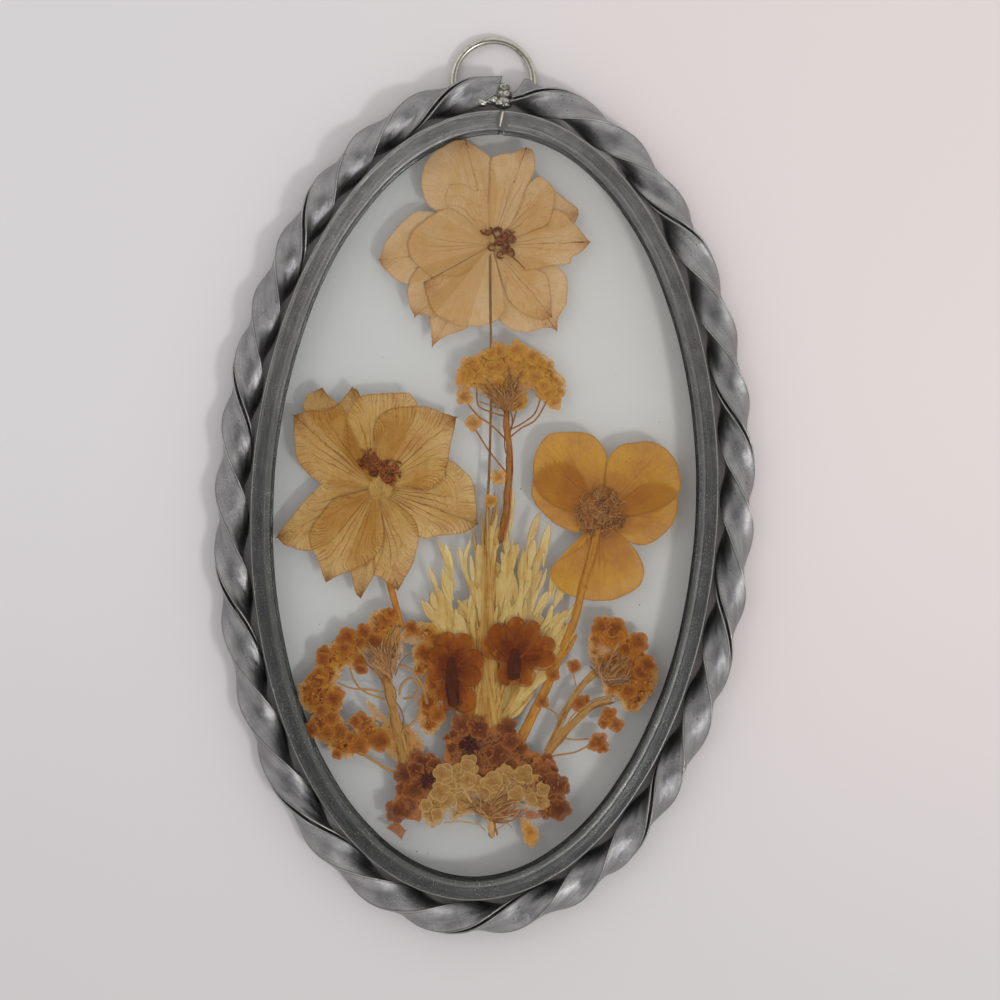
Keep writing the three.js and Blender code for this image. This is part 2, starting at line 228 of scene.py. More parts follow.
class Finish:
    """A material, or another owner of a node tree, while its nodes are laid out."""

    def __init__(self, name, owner=None):
        self.owner = owner or bpy.data.materials.new(name)
        self.owner.use_nodes = True
        self.tree = self.owner.node_tree
        self.tree.nodes.clear()

    def node(self, kind, settings=None, sockets=None, out=0):
        """Adds a node: its settings first, then the value or link of each socket."""
        node = self.tree.nodes.new(kind)
        for key, value in (settings or {}).items():
            setattr(node, key, value)
        for key, value in (sockets or {}).items():
            if isinstance(value, Value):
                self.tree.links.new(value.socket, node.inputs[key])
            else:
                node.inputs[key].default_value = value
        return Value(self, node.outputs[out])

    def mix(self, first, second, factor):
        """The first colour, changed to the second by the factor."""
        full = [c if isinstance(c, Value) else (*c, 1) for c in (first, second)]
        return self.node(
            "ShaderNodeMix",
            {"data_type": "RGBA"},
            {0: factor, 6: full[0], 7: full[1]},
            out=2,
        )

    def place(self):
        """Where the point is on the object, in metres."""
        return self.node("ShaderNodeTexCoord", out=3)

    def axes(self, point):
        """The three numbers that a point is made of."""
        split = self.node("ShaderNodeSeparateXYZ", {}, {0: point})
        return split, split.output(1), split.output(2)

    def surface(self):
        """The two coordinates of the piece's own UV map."""
        return self.axes(self.node("ShaderNodeUVMap", {"uv_map": "UVMap"}))[:2]

    def mark(self, name):
        """A number kept at each point of the piece."""
        return self.node("ShaderNodeAttribute", {"attribute_name": name}, out=2)

    def noise(self, where, scale, detail=2.0, rough=0.5):
        """Cloudy random numbers about 0.5, finer where the scale is larger."""
        return self.node(
            "ShaderNodeTexNoise", {},
            {"Vector": where, "Scale": scale, "Detail": detail, "Roughness": rough},
        )

    def streaks(self, along, across, third=0.0, detail=2.0, rough=0.5):
        """Noise drawn out along a surface: read at a point made of two or three numbers."""
        point = self.node("ShaderNodeCombineXYZ", {}, {0: along, 1: across, 2: third})
        return self.noise(point, 1.0, detail, rough)

    def layered(self, base, *layers):
        """The base colour under other colours, each laid on by its own factor."""
        for colour, factor in layers:
            base = self.mix(base, colour, factor)
        return base

    def bump(self, height, distance, strength=1.0):
        """The normal of a surface that the height raises by up to the distance."""
        return self.node(
            "ShaderNodeBump", {},
            {"Height": height, "Distance": distance, "Strength": strength},
        )

    def shade(self, sockets):
        """The Principled shader that the sockets describe."""
        return self.node("ShaderNodeBsdfPrincipled", {}, sockets)

    def dried(self, colour, roughness, alpha, normal):
        """The finished material of a dried petal or stem: dull, and clear where alpha is low."""
        return self.done(self.shade({
            "Base Color": colour,
            "Specular IOR Level": SHEEN,
            "Roughness": roughness,
            "Alpha": alpha.clipped(),
            "Normal": normal,
        }))

    def done(self, shader, kind="ShaderNodeOutputMaterial"):
        """Ends the tree with the shader, and gives the finished owner."""
        output = self.tree.nodes.new(kind)
        self.tree.links.new(shader.socket, output.inputs["Surface"])
        return self.owner


# -------- surfaces


def through(points, count, closed=False):
    """A smooth curve through the points at even steps of its length.

    Between two points it is the cubic whose slopes there are half the difference of their
    neighbours. A point given twice makes a corner.
    """
    points = np.asarray(points, float)
    if closed:
        ring = np.vstack([points[-1:], points, points[:2]])
    else:
        ring = np.vstack([2 * points[0] - points[1], points, 2 * points[-1] - points[-2]])
    before, here, there, after = ring[:-3], ring[1:-2], ring[2:-1], ring[3:]
    t = np.linspace(0, 1, 20, endpoint=False)[:, None, None]
    curve = 0.5 * (
        2 * here
        + (there - before) * t
        + (2 * before - 5 * here + 4 * there - after) * t**2
        + (3 * here - before - 3 * there + after) * t**3
    )
    curve = np.vstack([curve.transpose(1, 0, 2).reshape(-1, points.shape[1]), there[-1:]])
    length = np.append(0, np.cumsum(np.linalg.norm(np.diff(curve, axis=0), axis=1)))
    steps = np.linspace(0, length[-1], count, endpoint=not closed)
    return np.stack([np.interp(steps, length, axis) for axis in curve.T], axis=1)


def ripple(u, v, seed, octaves=4):
    """A smooth random height from -1 to 1: waves of rising pitch, each at its own angle."""
    random = np.random.default_rng(seed)
    total = 0
    for octave in range(octaves):
        pitch = 1.7**octave
        angle, phase, other = random.uniform(0, 2 * np.pi, 3)
        wave = (u * np.cos(angle) + v * np.sin(angle)) * pitch * 2 * np.pi
        cross = (u * np.sin(angle) - v * np.cos(angle)) * pitch * 4.1
        total = total + np.sin(wave + phase + np.sin(cross + other)) / 1.5**octave
    return total / 2.3


def smooth_step(value, low, high):
    """0 below low, 1 above high, with the cubic 3x^2 - 2x^3 between."""
    x = np.clip((value - low) / (high - low), 0, 1)
    return x * x * (3 - 2 * x)


def bell(value, half):
    """exp(-(value / half)^2): 1 where the value is 0, and almost 0 past twice the half width."""
    return np.exp(-((value / half) ** 2))


def circle(count):
    """Even angles once round a circle."""
    return np.linspace(0, 2 * np.pi, count, endpoint=False)


def grid_uv(down, columns):
    """UV points for rows at the given places, whose columns run once round from 0 to 1."""
    down, around = np.meshgrid(down, np.linspace(0, 1, columns + 1), indexing="ij")
    return np.dstack([around, down])


def ends_shut(places):
    """The places along a sweep with both ends given twice, and sizes that shut the ends."""
    places = np.concatenate([places[:1], places, places[-1:]])
    size = np.ones(len(places))
    size[[0, -1]] = 0
    return places, size


class Surface:
    """Grids of points gathered into one mesh, with a UV map and numbers at each point."""

    MARKS = ("tone", "margin", "tip", "ray", "under", "core", "hole")
    WELD = 1e-7  # points nearer than this, in metres, become one

    def __init__(self):
        self.points = []
        self.faces = []
        self.uvs = []
        self.marks = {name: [] for name in self.MARKS}
        self.count = 0

    def add(self, grid, uv, closed=False, solid=False, **marks):
        """Adds rows and columns of points, in millimetres from the frame's middle.

        A closed grid's last column joins its first, and its UV grid has one column more.
        Faces are turned outwards on a solid and up on a sheet.
        """
        rows, columns = grid.shape[:2]
        number = np.arange(rows * columns).reshape(rows, columns)
        if closed:
            number = np.hstack([number, number[:, :1]])
        corners = (slice(None, -1), slice(None, -1)), (slice(None, -1), slice(1, None))
        corners += (slice(1, None), slice(1, None)), (slice(1, None), slice(None, -1))
        faces = np.stack([number[corner] for corner in corners], axis=-1).reshape(-1, 4)
        uvs = np.stack([uv[corner] for corner in corners], axis=-2).reshape(-1, 4, 2)
        flat = grid.reshape(-1, 3)
        first, second, third, fourth = (flat[faces[:, corner]] for corner in range(4))
        cross = np.cross(third - first, fourth - second)
        away = flat[faces].mean(axis=1) - flat.mean(axis=0) if solid else np.array([0, 0, 1.0])
        if (cross * away).sum() < 0:
            faces, uvs = faces[:, ::-1], uvs[:, ::-1]
        self.faces.append(faces + self.count)
        self.uvs.append(uvs)
        self.points.append(flat)
        self.count += len(flat)
        for name in self.MARKS:
            value = np.broadcast_to(marks.get(name, 0.0), (rows, columns))
            self.marks[name].append(value.reshape(-1))

    def build(self, name, material, slot, *nodes):
        """Makes the object, which stands for the named CAD nodes."""
        mesh = bpy.data.meshes.new(name)
        points = np.vstack(self.points) * MM + [CENTRE.x, CENTRE.y, 0]
        mesh.from_pydata(points, [], np.vstack(self.faces))
        mesh.uv_layers.new(name="UVMap").data.foreach_set("uv", np.concatenate(self.uvs).ravel())
        for mark, values in self.marks.items():
            layer = mesh.attributes.new(mark, "FLOAT", "POINT")
            layer.data.foreach_set("value", np.concatenate(values).astype(np.float32))
        mesh.polygons.foreach_set("use_smooth", np.ones(len(mesh.polygons), bool))
        welded = bmesh.new()
        welded.from_mesh(mesh)
        bmesh.ops.remove_doubles(welded, verts=welded.verts, dist=self.WELD)
        welded.to_mesh(mesh)
        welded.free()
        mesh.validate()
        mesh.materials.append(material)
        piece = bpy.data.objects.new(name, mesh)
        bpy.context.scene.collection.objects.link(piece)
        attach(piece, BODY)
        if nodes:
            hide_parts(*nodes)
        return piece


# -------- the lead


class Oval:
    """The closed line that runs `out` outside the inner came's outer edge.

    It is the ellipse (A cos a, B sin a) moved out along its normal. It starts at the top
    and runs anticlockwise, and places on it are given by the part of its length.
    """

    def __init__(self, out, samples=5000):
        angle = np.pi / 2 + 2 * np.pi * np.linspace(0, 1, samples + 1)
        x, y = HALF_WIDTH * np.cos(angle), HALF_HEIGHT * np.sin(angle)
        normal = np.stack([x / HALF_WIDTH**2, y / HALF_HEIGHT**2])
        normal /= np.linalg.norm(normal, axis=0)
        self.points = np.stack([x, y]) + out * normal
        self.normals = normal
        steps = np.linalg.norm(np.diff(self.points, axis=1), axis=0)
        self.lengths = np.append(0, np.cumsum(steps))

    @property
    def length(self):
        """Once round, in millimetres."""
        return self.lengths[-1]

    def at(self, lap):
        """The points and the outward directions at these parts of the lap."""
        place = (lap % 1) * self.length
        point = np.stack([np.interp(place, self.lengths, axis) for axis in self.points], axis=-1)
        normal = np.stack([np.interp(place, self.lengths, axis) for axis in self.normals], axis=-1)
        return point, normal


def rounded(corners, rounds=2):
    """A closed outline with its corners cut off again and again, at a quarter of each side."""
    outline = np.asarray(corners, float)
    for _ in range(rounds):
        following = np.roll(outline, -1, axis=0)
        outline = np.stack(
            [0.75 * outline + 0.25 * following, 0.25 * outline + 0.75 * following], axis=1
        ).reshape(-1, 2)
    return outline


def swept(section, oval, laps, middle, turn=0.0, size=1.0):
    """A section (up, away) carried round the oval, turned and sized along the way."""
    turn = np.broadcast_to(turn, laps.shape)[:, None]
    size = np.broadcast_to(size, laps.shape)[:, None]
    up = size * (section[..., 0] * np.cos(turn) - section[..., 1] * np.sin(turn))
    away = size * (section[..., 0] * np.sin(turn) + section[..., 1] * np.cos(turn))
    point, normal = oval.at(laps)
    flat = point[:, None, :] + normal[:, None, :] * away[..., None]
    return np.dstack([flat, middle + up])


def swept_uv(section, lengths):
    """Ten millimetres along the lead and round its section to one unit."""
    closed = np.vstack([section, section[:1]])
    around = np.append(0, np.cumsum(np.linalg.norm(np.diff(closed, axis=0), axis=1)))
    along, across = np.meshgrid(lengths, around, indexing="ij")
    return np.dstack([along, across]) / 10


def came_section(reach):
    """The inner came: a U round both panes, a groove and a rolled lip on each flange."""
    top = CAME_HEIGHT / 2
    return [
        (0, 0.0), (top - 0.55, 0.0), (top - 0.25, -0.04), (top - 0.03, -0.25), (top - 0.02, -0.45),
        (top - 0.1, -0.62), (top - 0.13, -1.2), (top - 0.1, 1.6 - reach),
        (top - 0.08, 1.3 - reach), (top - 0.12, 1.2 - reach), (top - 0.08, 1.1 - reach),
        (top, 0.85 - reach), (top - 0.02, 0.4 - reach),
        (top - 0.16, 0.08 - reach), (top - 0.4, -reach), (top - 0.62, 0.04 - reach),
        (top - 0.74, 0.2 - reach), (top - 0.75, -0.9),
    ]


def lead_finish(name, clean, tarnish, cross_marks, lines, foot_shade):
    """Lead: blotches of tarnish, lengthwise scratches, small pits, flecks and worn edges.

    `cross_marks` adds the fine lines that twisting left across the faces, and `lines` the
    coarse ones that drawing left along them. The last argument is how much darker the foot is
    than the top, as painted shade. The marks are the way to the nearest worn edge (margin),
    brightened by wear and by painted highlight, the middle of a face (core), where a dark
    reflection is painted, the rolled lip (tip), and the grime and painted shade in the
    crevices (under).
    """
    settings = bpy.context.scene.flower_frame
    finish = Finish(name)
    place = finish.place()
    along, across = finish.surface()
    edge = finish.mark("margin").rise(0.1, 0.0)
    core, lip, grime_and_shade = (finish.mark(mark) for mark in ("core", "tip", "under"))
    blotch = finish.noise(place, 210, 3, 0.6).rise(0.32, 0.68)
    cloud = finish.noise(place, 900, 4, 0.6)
    drawn = finish.streaks(along * 5, across * 170, detail=3, rough=0.65)
    coarse = finish.streaks(along * 1.2, across * 26, 5.0).rise(0.38, 0.62)
    scratch = finish.streaks(along * 3, across * 420, 7.0, 1).rise(0.66, 0.74)
    crossed = finish.streaks(along * 150, across * 7, 3.0)
    crossed = crossed * finish.noise(place, 130, 1).rise(0.45, 0.7) * cross_marks
    fleck = finish.noise(place, 4200, 2, 0.6).rise(0.6, 0.68)
    fleck = fleck * finish.noise(place, 180, 2).rise(0.36, 0.56)
    pits = finish.node(
        "ShaderNodeTexVoronoi", {}, {"Vector": place, "Scale": 900.0, "Randomness": 1.0}
    ).rise(0.16, 0.06) * finish.noise(place, 260, 2).rise(0.5, 0.58)
    # painted shade: the lead is painted darker towards the foot of the frame, where less light falls
    foot = 1 - finish.axes(place)[1].rise(-0.03, 0.075)
    # painted shade: a dark line just beside each crest of the rope, where the strands turn in against
    # their neighbours
    groove = finish.mark("margin").line(0.26, 0.14) * cross_marks
    colour = finish.layered(
        tarnish,
        (clean, 0.25 + blotch * 0.25 + cloud * 0.35 + (coarse - 0.5) * lines),
        # painted reflection: a dark blue-grey patch in the middle of each rope face, for the dark room
        # overhead
        (linear(88, 90, 98), (core * (0.1 + blotch * 0.3)).clipped()),
        (linear(62, 64, 66), foot * foot_shade),
        (linear(166, 166, 158), lip * 0.3),
        # worn edges: brighter partly from wear and partly as a painted highlight along corners and
        # crests
        (settings.solder, (scratch * 0.4 + edge * 0.6 + fleck * 0.7).clipped()),
        # grime and painted shade: near black where the came meets the glass and in the flange's groove,
        # and in small pits
        ((0.03, 0.028, 0.018), (pits * 0.75 + grime_and_shade * 0.75 + groove * 0.5).clipped()),
    )
    height = drawn * 0.8 + cloud * 0.5 + crossed * 2.4 - scratch * 0.5 - pits + coarse * lines
    return finish.done(finish.shade({
        "Base Color": colour,
        "Metallic": 0.95,
        "Roughness": (0.26 + cloud * 0.14 + drawn * 0.1 - edge * 0.1 + grime_and_shade * 0.3).clipped(),
        "Normal": finish.bump(height, 0.07 * MM, 0.6),
    }))


class FLOWERFRAME_OT_came(bpy.types.Operator):
    """Bends the inner lead came round the panes"""

    bl_idname = "flowerframe.came"
    bl_label = "Inner came"
    steps = 700
    seam = 0.0008  # half of the gap between its ends, as a part of the lap
    back_reach = 0.05  # how much further the back flange lies over the glass
    waves = 9
    wobble = 0.07  # how far the hand bending leaves the inner edge in and out

    def execute(self, context):
        reach = context.scene.flower_frame.flange_reach / MM
        front = came_section(reach)
        back = [(-up, away) for up, away in came_section(reach + self.back_reach)][::-1]
        section = rounded([*front, *back[:-1]])
        oval = Oval(0)
        laps, size = ends_shut(np.linspace(self.seam, 1 - self.seam, self.steps))
        wave = ripple(laps * self.waves, 0 * laps, 3)[:, None]
        shape = np.broadcast_to(section, (len(laps), *section.shape)).copy()
        inner = smooth_step(-section[:, 1], 1.0, 3.0)
        shape[..., 1] += self.wobble * wave * inner
        grid = swept(shape, oval, laps, CAME_HEIGHT / 2)
        middle = grid.mean(axis=1, keepdims=True)
        grid = middle + (grid - middle) * size[:, None, None]
        away = section[:, 1]
        below = 0.5 * (section[:, 0] < 0)
        # margin: the way to the came's outer top corner, whose edge is brightened as wear and as
        # painted highlight
        rim = np.abs(away + 0.16) * 0.6 + below
        lip = bell(away + reach - 0.75, 0.3)
        # grime and painted shade: at the inner edge against the glass, and faintly in the flange's
        # groove
        grime_and_shade = bell(away + reach + 0.02, 0.16) + 0.25 * bell(away + reach - 1.2, 0.1)
        surface = Surface()
        uv = swept_uv(section, laps * oval.length)
        surface.add(grid, uv, closed=True, solid=True, margin=rim, tip=lip, under=grime_and_shade)
        settings = context.scene.flower_frame
        lead = lead_finish(
            "came lead", settings.came_lead, settings.came_tarnish,
            cross_marks=0.0, lines=0.22, foot_shade=0.72,
        )
        surface.build("inner_came", lead, "lead_came", "came")
        return {"FINISHED"}


def rope_section(radius):
    """The twisted came: three bulging faces, and at one corner the slot between its edges."""
    angle = np.radians([28, 45, 60, 75, 92, 106, 114, 118])
    corner = np.radians(120)
    from_corner = np.minimum(angle, corner - angle)
    bulge = 0.68 + 0.32 * (1 - np.sin(1.5 * from_corner)) ** 1.25
    near = np.stack([bulge * np.cos(angle), bulge * np.sin(angle)], axis=1)
    beyond = 2 * corner - angle
    far = np.stack([bulge * np.cos(beyond), bulge * np.sin(beyond)], axis=1)[::-1]
    half = [(0.3, 0.0), (0.34, 0.11), (0.9, 0.075), (0.955, 0.085), (0.985, 0.125)]
    half += [(0.975, 0.19), (0.93, 0.225), (0.86, 0.27), *near]
    half += [(np.cos(corner), np.sin(corner)), *far[:5]]
    mirrored = [(x, -y) for x, y in half[1:-1]][::-1]
    return radius * np.array([*half, *mirrored])


class FLOWERFRAME_OT_rope(bpy.types.Operator):
    """Twists the outer lead came into a rope and bends it round the first"""

    bl_idname = "flowerframe.rope"
    bl_label = "Twisted came"
    steps = 1150
    cut = 1.5  # how far the right end is cut aslant, either way of its middle
    point = 1.3  # how far the left end's outer corner runs on to a point
    slack = 0.962  # keeps the dented rope within its radius
    uneven = 0.07  # how far the twist runs ahead or lags, in radians
    end_size = 0.88  # of the squeezed ends
    squeezed = 4.5  # the lengths over which the ends are squeezed, cut and pointed
    slanted = 5.0
    pointed = 3.5

    def execute(self, context):
        radius = context.scene.flower_frame.rope_radius / MM
        corners = rope_section(radius)
        section = rounded(corners, 1)
        oval = Oval(ROPE_OFFSET)
        trim = ROPE_ENDS_GAP / 2 / oval.length
        laps = np.linspace(trim, 1 - trim, self.steps)
        early = TIGHTER_START * np.sin(np.pi * np.minimum(2 * laps, 1)) ** 2
        turn = -2 * np.pi * (TURNS * (laps - FIRST_SLOT) + early)
        turn += self.uneven * ripple(laps * 13, 0 * laps, 11)
        ends = np.minimum(laps - laps[0], laps[-1] - laps) * oval.length
        size = self.end_size + (1 - self.end_size) * smooth_step(ends, 0, self.squeezed)
        size[[0, -1]] = 0
        around = np.arctan2(section[:, 1], section[:, 0])
        long, round_ = np.meshgrid(laps * oval.length / 10, around, indexing="ij")
        dents = ripple(long * 1.6, np.cos(round_) * 1.3, 21) * 0.025
        dents += ripple(long * 0.7, np.sin(round_) * 1.1, 22) * 0.03
        reach = np.linalg.norm(section, axis=1) / radius
        swell = self.slack + dents * smooth_step(reach, 0.4, 0.7) * (1 - reach**6)
        shape = section[None] * swell[..., None]
        grid = swept(shape, oval, laps, ROPE_MIDDLE, turn, size)
        slant = smooth_step((laps[-1] - laps) * oval.length, self.slanted, 0.0)[:, None]
        outer = (grid[..., 1] - HALF_HEIGHT - ROPE_OFFSET) / radius
        grid[..., 0] += slant * (outer + 0.7) * self.cut
        peak = smooth_step((laps - laps[0]) * oval.length, self.pointed, 0.0)[:, None]
        peak = peak * np.clip(outer, 0, 1)
        grid[..., 0] += peak * self.point
        grid[..., 1] += peak**2 * self.point * 0.4
        crests = radius * np.array([
            (0.985, 0.125), (0.985, -0.125), (-0.5, 0.866), (-0.5, -0.866),
        ])
        margin = np.linalg.norm(section[:, None] - crests[None], axis=2).min(axis=1)
        surface = Surface()
        uv = swept_uv(section, laps * oval.length)
        # core: the middle of each face, where the dark reflection of the room overhead is painted
        core = (0.5 - 0.5 * np.cos(3 * around)) ** 3
        surface.add(grid, uv, closed=True, solid=True, margin=margin, core=core)
        settings = context.scene.flower_frame
        lead = lead_finish(
            "rope lead", settings.rope_lead, settings.rope_tarnish,
            cross_marks=1.0, lines=0.12, foot_shade=0.1,
        )
        surface.build("lead_rope", lead, "lead_rope", "twisted_came")
        return {"FINISHED"}


def ball(centre, radii, seed, lumps=0.2, rows=24, columns=36):
    """A lumpy ball: an ellipsoid whose radius swells and sinks with a smooth random height."""
    a = np.linspace(0, np.pi, rows)[:, None]
    b = circle(columns)[None, :]
    shape = np.dstack([np.sin(a) * np.cos(b), np.sin(a) * np.sin(b), np.cos(a) + 0 * b])
    swell = 1 - lumps * (0.5 + 0.5 * ripple(shape[..., 0] + shape[..., 2], shape[..., 1], seed))
    return shape * swell[..., None] * radii + centre, grid_uv(np.linspace(0, 1, rows), columns)


def metal_finish(name, colour, roughness, stain):
    """Bright metal, with its own fine grain and patches of stain."""
    finish = Finish(name)
    place = finish.place()
    patch = finish.noise(place, 700, 4, 0.6)
    grain = finish.noise(place, 4200, 2)
    return finish.done(finish.shade({
        "Base Color": finish.mix(colour, stain, patch.rise(0.5, 0.7) * 0.7),
        "Metallic": 0.95,
        "Roughness": roughness + patch * 0.2,
        "Normal": finish.bump(patch + grain * 0.4, 0.05 * MM, 0.5),
    }))


class FLOWERFRAME_OT_solder(bpy.types.Operator):
    """Runs the solder over the came's seam and between the rope's ends"""

    bl_idname = "flowerframe.solder"
    bl_label = "Solder"
    pad = (1.05, 1.75, 0.06)
    crack = [(0.2, 65.3), (0.0, 64.1), (-0.2, 62.7)]
    beads = [  # the centre, the radius and the seed of each
        (0.0, 68.6, 2.0, 1.5, 1), (-0.2, 69.9, 1.8, 1.3, 2), (0.1, 67.2, 3.0, 1.5, 3),
        (-3.4, 67.0, 4.4, 1.2, 6), (-1.7, 67.4, 4.5, 1.0, 7), (-0.6, 67.0, 4.2, 0.9, 9),
    ]

    def execute(self, context):
        settings = context.scene.flower_frame
        skin_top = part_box("came_solder")[1].z / MM
        dull = metal_finish("dull solder", linear(126, 128, 124), 0.4, linear(104, 106, 98))
        bright = metal_finish("solder", settings.solder, 0.2, linear(110, 108, 100))
        skin = Surface()
        middle = (0.1, HALF_HEIGHT - 1.8, skin_top - 0.14)
        skin.add(*ball(middle, self.pad, 5, 0.1), closed=True, solid=True)
        skin.build("seam_solder", dull, "solder", "came_solder")
        crack = Surface()
        stalk(crack, self.crack, (0.22, 0.34, 0.2), skin_top - 0.09, 0.5)
        pale = stem_finish("seam line", *lights((214, 200, 196), (150, 140, 134)))
        crack.build("seam_line", pale, "solder")
        lump = Surface()
        for x, y, z, radius, seed in self.beads:
            radii = (1.2 * radius, 0.8 * radius, radius)
            lump.add(*ball((x, y, z), radii, seed, 0.3, 30, 44), closed=True, solid=True)
        lump.build("rope_solder_lump", bright, "solder", "rope_solder")
        return {"FINISHED"}


class FLOWERFRAME_OT_ring(bpy.types.Operator):
    """Bends the wire ring that the frame hangs by"""

    bl_idname = "flowerframe.ring"
    bl_label = "Hanging ring"
    steps = 170
    sides = 24

    def execute(self, context):
        settings = context.scene.flower_frame
        radius = settings.wire / MM / 2
        half = np.radians(RING_ARC / 2)
        along, size = ends_shut(np.pi / 2 + np.linspace(-half, half, self.steps))
        around = circle(self.sides)
        reach = RING_RADIUS + radius * size[:, None] * np.cos(around)
        height = RING_HEIGHT + radius * size[:, None] * np.sin(around)
        grid = np.dstack([
            RING_CENTRE[0] + reach * np.cos(along)[:, None],
            RING_CENTRE[1] + reach * np.sin(along)[:, None],
            height,
        ])
        surface = Surface()
        surface.add(grid, grid_uv(along, self.sides)[..., ::-1], closed=True, solid=True)
        material = metal_finish("ring wire", settings.ring, 0.2, linear(128, 122, 102))
        surface.build("wire_ring", material, "ring_wire", "hanging_ring")
        return {"FINISHED"}


class FLOWERFRAME_OT_glass(bpy.types.Operator):
    """Gives the two panes their clear glass"""

    bl_idname = "flowerframe.glass"
    bl_label = "Panes"

    def execute(self, context):
        tint = (*context.scene.flower_frame.glass, 1)
        finish = Finish("clear glass")
        glass = finish.shade({
            "Base Color": tint, "Roughness": 0.0, "IOR": 1.5, "Transmission Weight": 1.0,
        })
        open_glass = finish.node("ShaderNodeBsdfTransparent", {}, {"Color": tint})
        shadow = finish.node("ShaderNodeLightPath", out=1)
        diffuse = shadow.output(2)
        mixed = finish.node(
            "ShaderNodeMixShader", {}, {0: shadow.highest(diffuse), 1: glass, 2: open_glass}
        )
        material = finish.done(mixed)
        for node in ("glass_back", "glass_front"):
            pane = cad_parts[node]
            pane.data.materials.clear()
            pane.data.materials.append(material)
        return {"FINISHED"}


# -------- pressed pieces


def inside(points, outline, soft=0.45):
    """1 inside a closed outline and 0 outside it, with a smooth step between.

    A point is inside where the line to its right crosses the outline an odd number of times.
    """
    x, y = points[..., 0, None], points[..., 1, None]
    here, there = outline, np.roll(outline, -1, axis=0)
    spans = (here[:, 1] > y) != (there[:, 1] > y)
    slope = (there[:, 0] - here[:, 0]) / (there[:, 1] - here[:, 1] + 1e-9)
    odd = (spans & (x < here[:, 0] + (y - here[:, 1]) * slope)).sum(axis=-1) % 2
    gap = np.linalg.norm(points[..., None, :] - outline, axis=-1).min(axis=-1)
    return smooth_step(np.where(odd, gap, -gap), -soft, soft)


def closeness(points, path, radius):
    """exp(-(d / radius)^2), where d is the way to the nearest point of a path."""
    line = through(path, 24) if len(path) > 1 else np.asarray(path, float)
    gap = np.linalg.norm(points[..., None, :] - line, axis=-1).min(axis=-1)
    return bell(gap, radius)


# How the pressed pieces are shaped, in millimetres.
EDGE_WAVE = 0.16  # how far a petal's edge strays from its outline
RIBS = 13
RIB_HEIGHT = 0.018
FOLD_LENGTH = 9
FOLD_HEIGHT = 0.035
TIP_SIZE = 2.1
STEM_THICKNESS = 0.28  # at most, either side of its middle
CRUMPLE_LENGTH = 2.2
CRUMPLE_HEIGHT = 0.1
HEAP_LENGTH = 3
HEAP_HEIGHT = 0.12
WELL_INSIDE = 9.0  # a way to the edge that no thin or worn edge reaches


def waves(flat, length, seed):
    """The smooth random height at flat points, in waves of about the given length."""
    return ripple(flat[..., 0] / length, flat[..., 1] / length, seed)


def petal(surface, hub, outline, height, tip=None, tone=0.0, seed=0, below=(), bend=1.0,
          rows=24, columns=120):
    """A petal: spokes from the hub to a smooth curve through its outline.

    The point at part r of the spoke to the edge point e is hub + r (e - hub), and it rises
    and sinks with a smooth random height and with the ribs. The UV map runs round the edge
    and out along the spokes, and near the edge the spokes bend to meet it squarely, as the
    veins do. `tip` is the number of the outline point that ends in a brown tip, and
    `below` holds the outlines of the petals that show through this one.
    """
    hub = np.asarray(hub, float)
    corners = list(outline)
    if tip is not None:
        corners.insert(tip, outline[tip])
    edge = through(corners, columns)
    s = np.linspace(0, 1, columns)
    inward = hub - edge
    inward /= np.linalg.norm(inward, axis=1, keepdims=True)
    edge = edge + inward * (EDGE_WAVE * ripple(s * 5, 0 * s, seed + 40))[:, None]
    r = np.linspace(0, 1, rows)
    flat = hub + r[:, None, None] * (edge - hub)
    gap = np.linalg.norm(flat[:, :, None] - edge, axis=3)
    near = gap.argmin(axis=2) / (columns - 1)
    turned = bend * smooth_step(r, 0.45, 1.0)[:, None]
    vein = (1 - turned) * s + turned * near
    across = np.broadcast_to(r[:, None], vein.shape)
    ribs = RIB_HEIGHT * np.sin(2 * np.pi * RIBS * vein + seed) * across
    folds = FOLD_HEIGHT * waves(flat, FOLD_LENGTH, seed) * across
    aim = np.asarray(outline[tip]) if tip is not None else edge.mean(axis=0)
    spoke = np.arctan2(*(flat - hub).T[::-1]).T - np.arctan2(*(aim - hub)[::-1])
    brown = closeness(flat, [outline[tip]], TIP_SIZE) if tip is not None else 0.0
    under = sum(inside(flat, shape) for shape in below)
    surface.add(
        np.dstack([flat, height + ribs + folds]), np.dstack([vein, across]), tone=tone,
        margin=gap.min(axis=2), tip=brown, ray=(spoke + np.pi) % (2 * np.pi) - np.pi,
        under=under,
    )


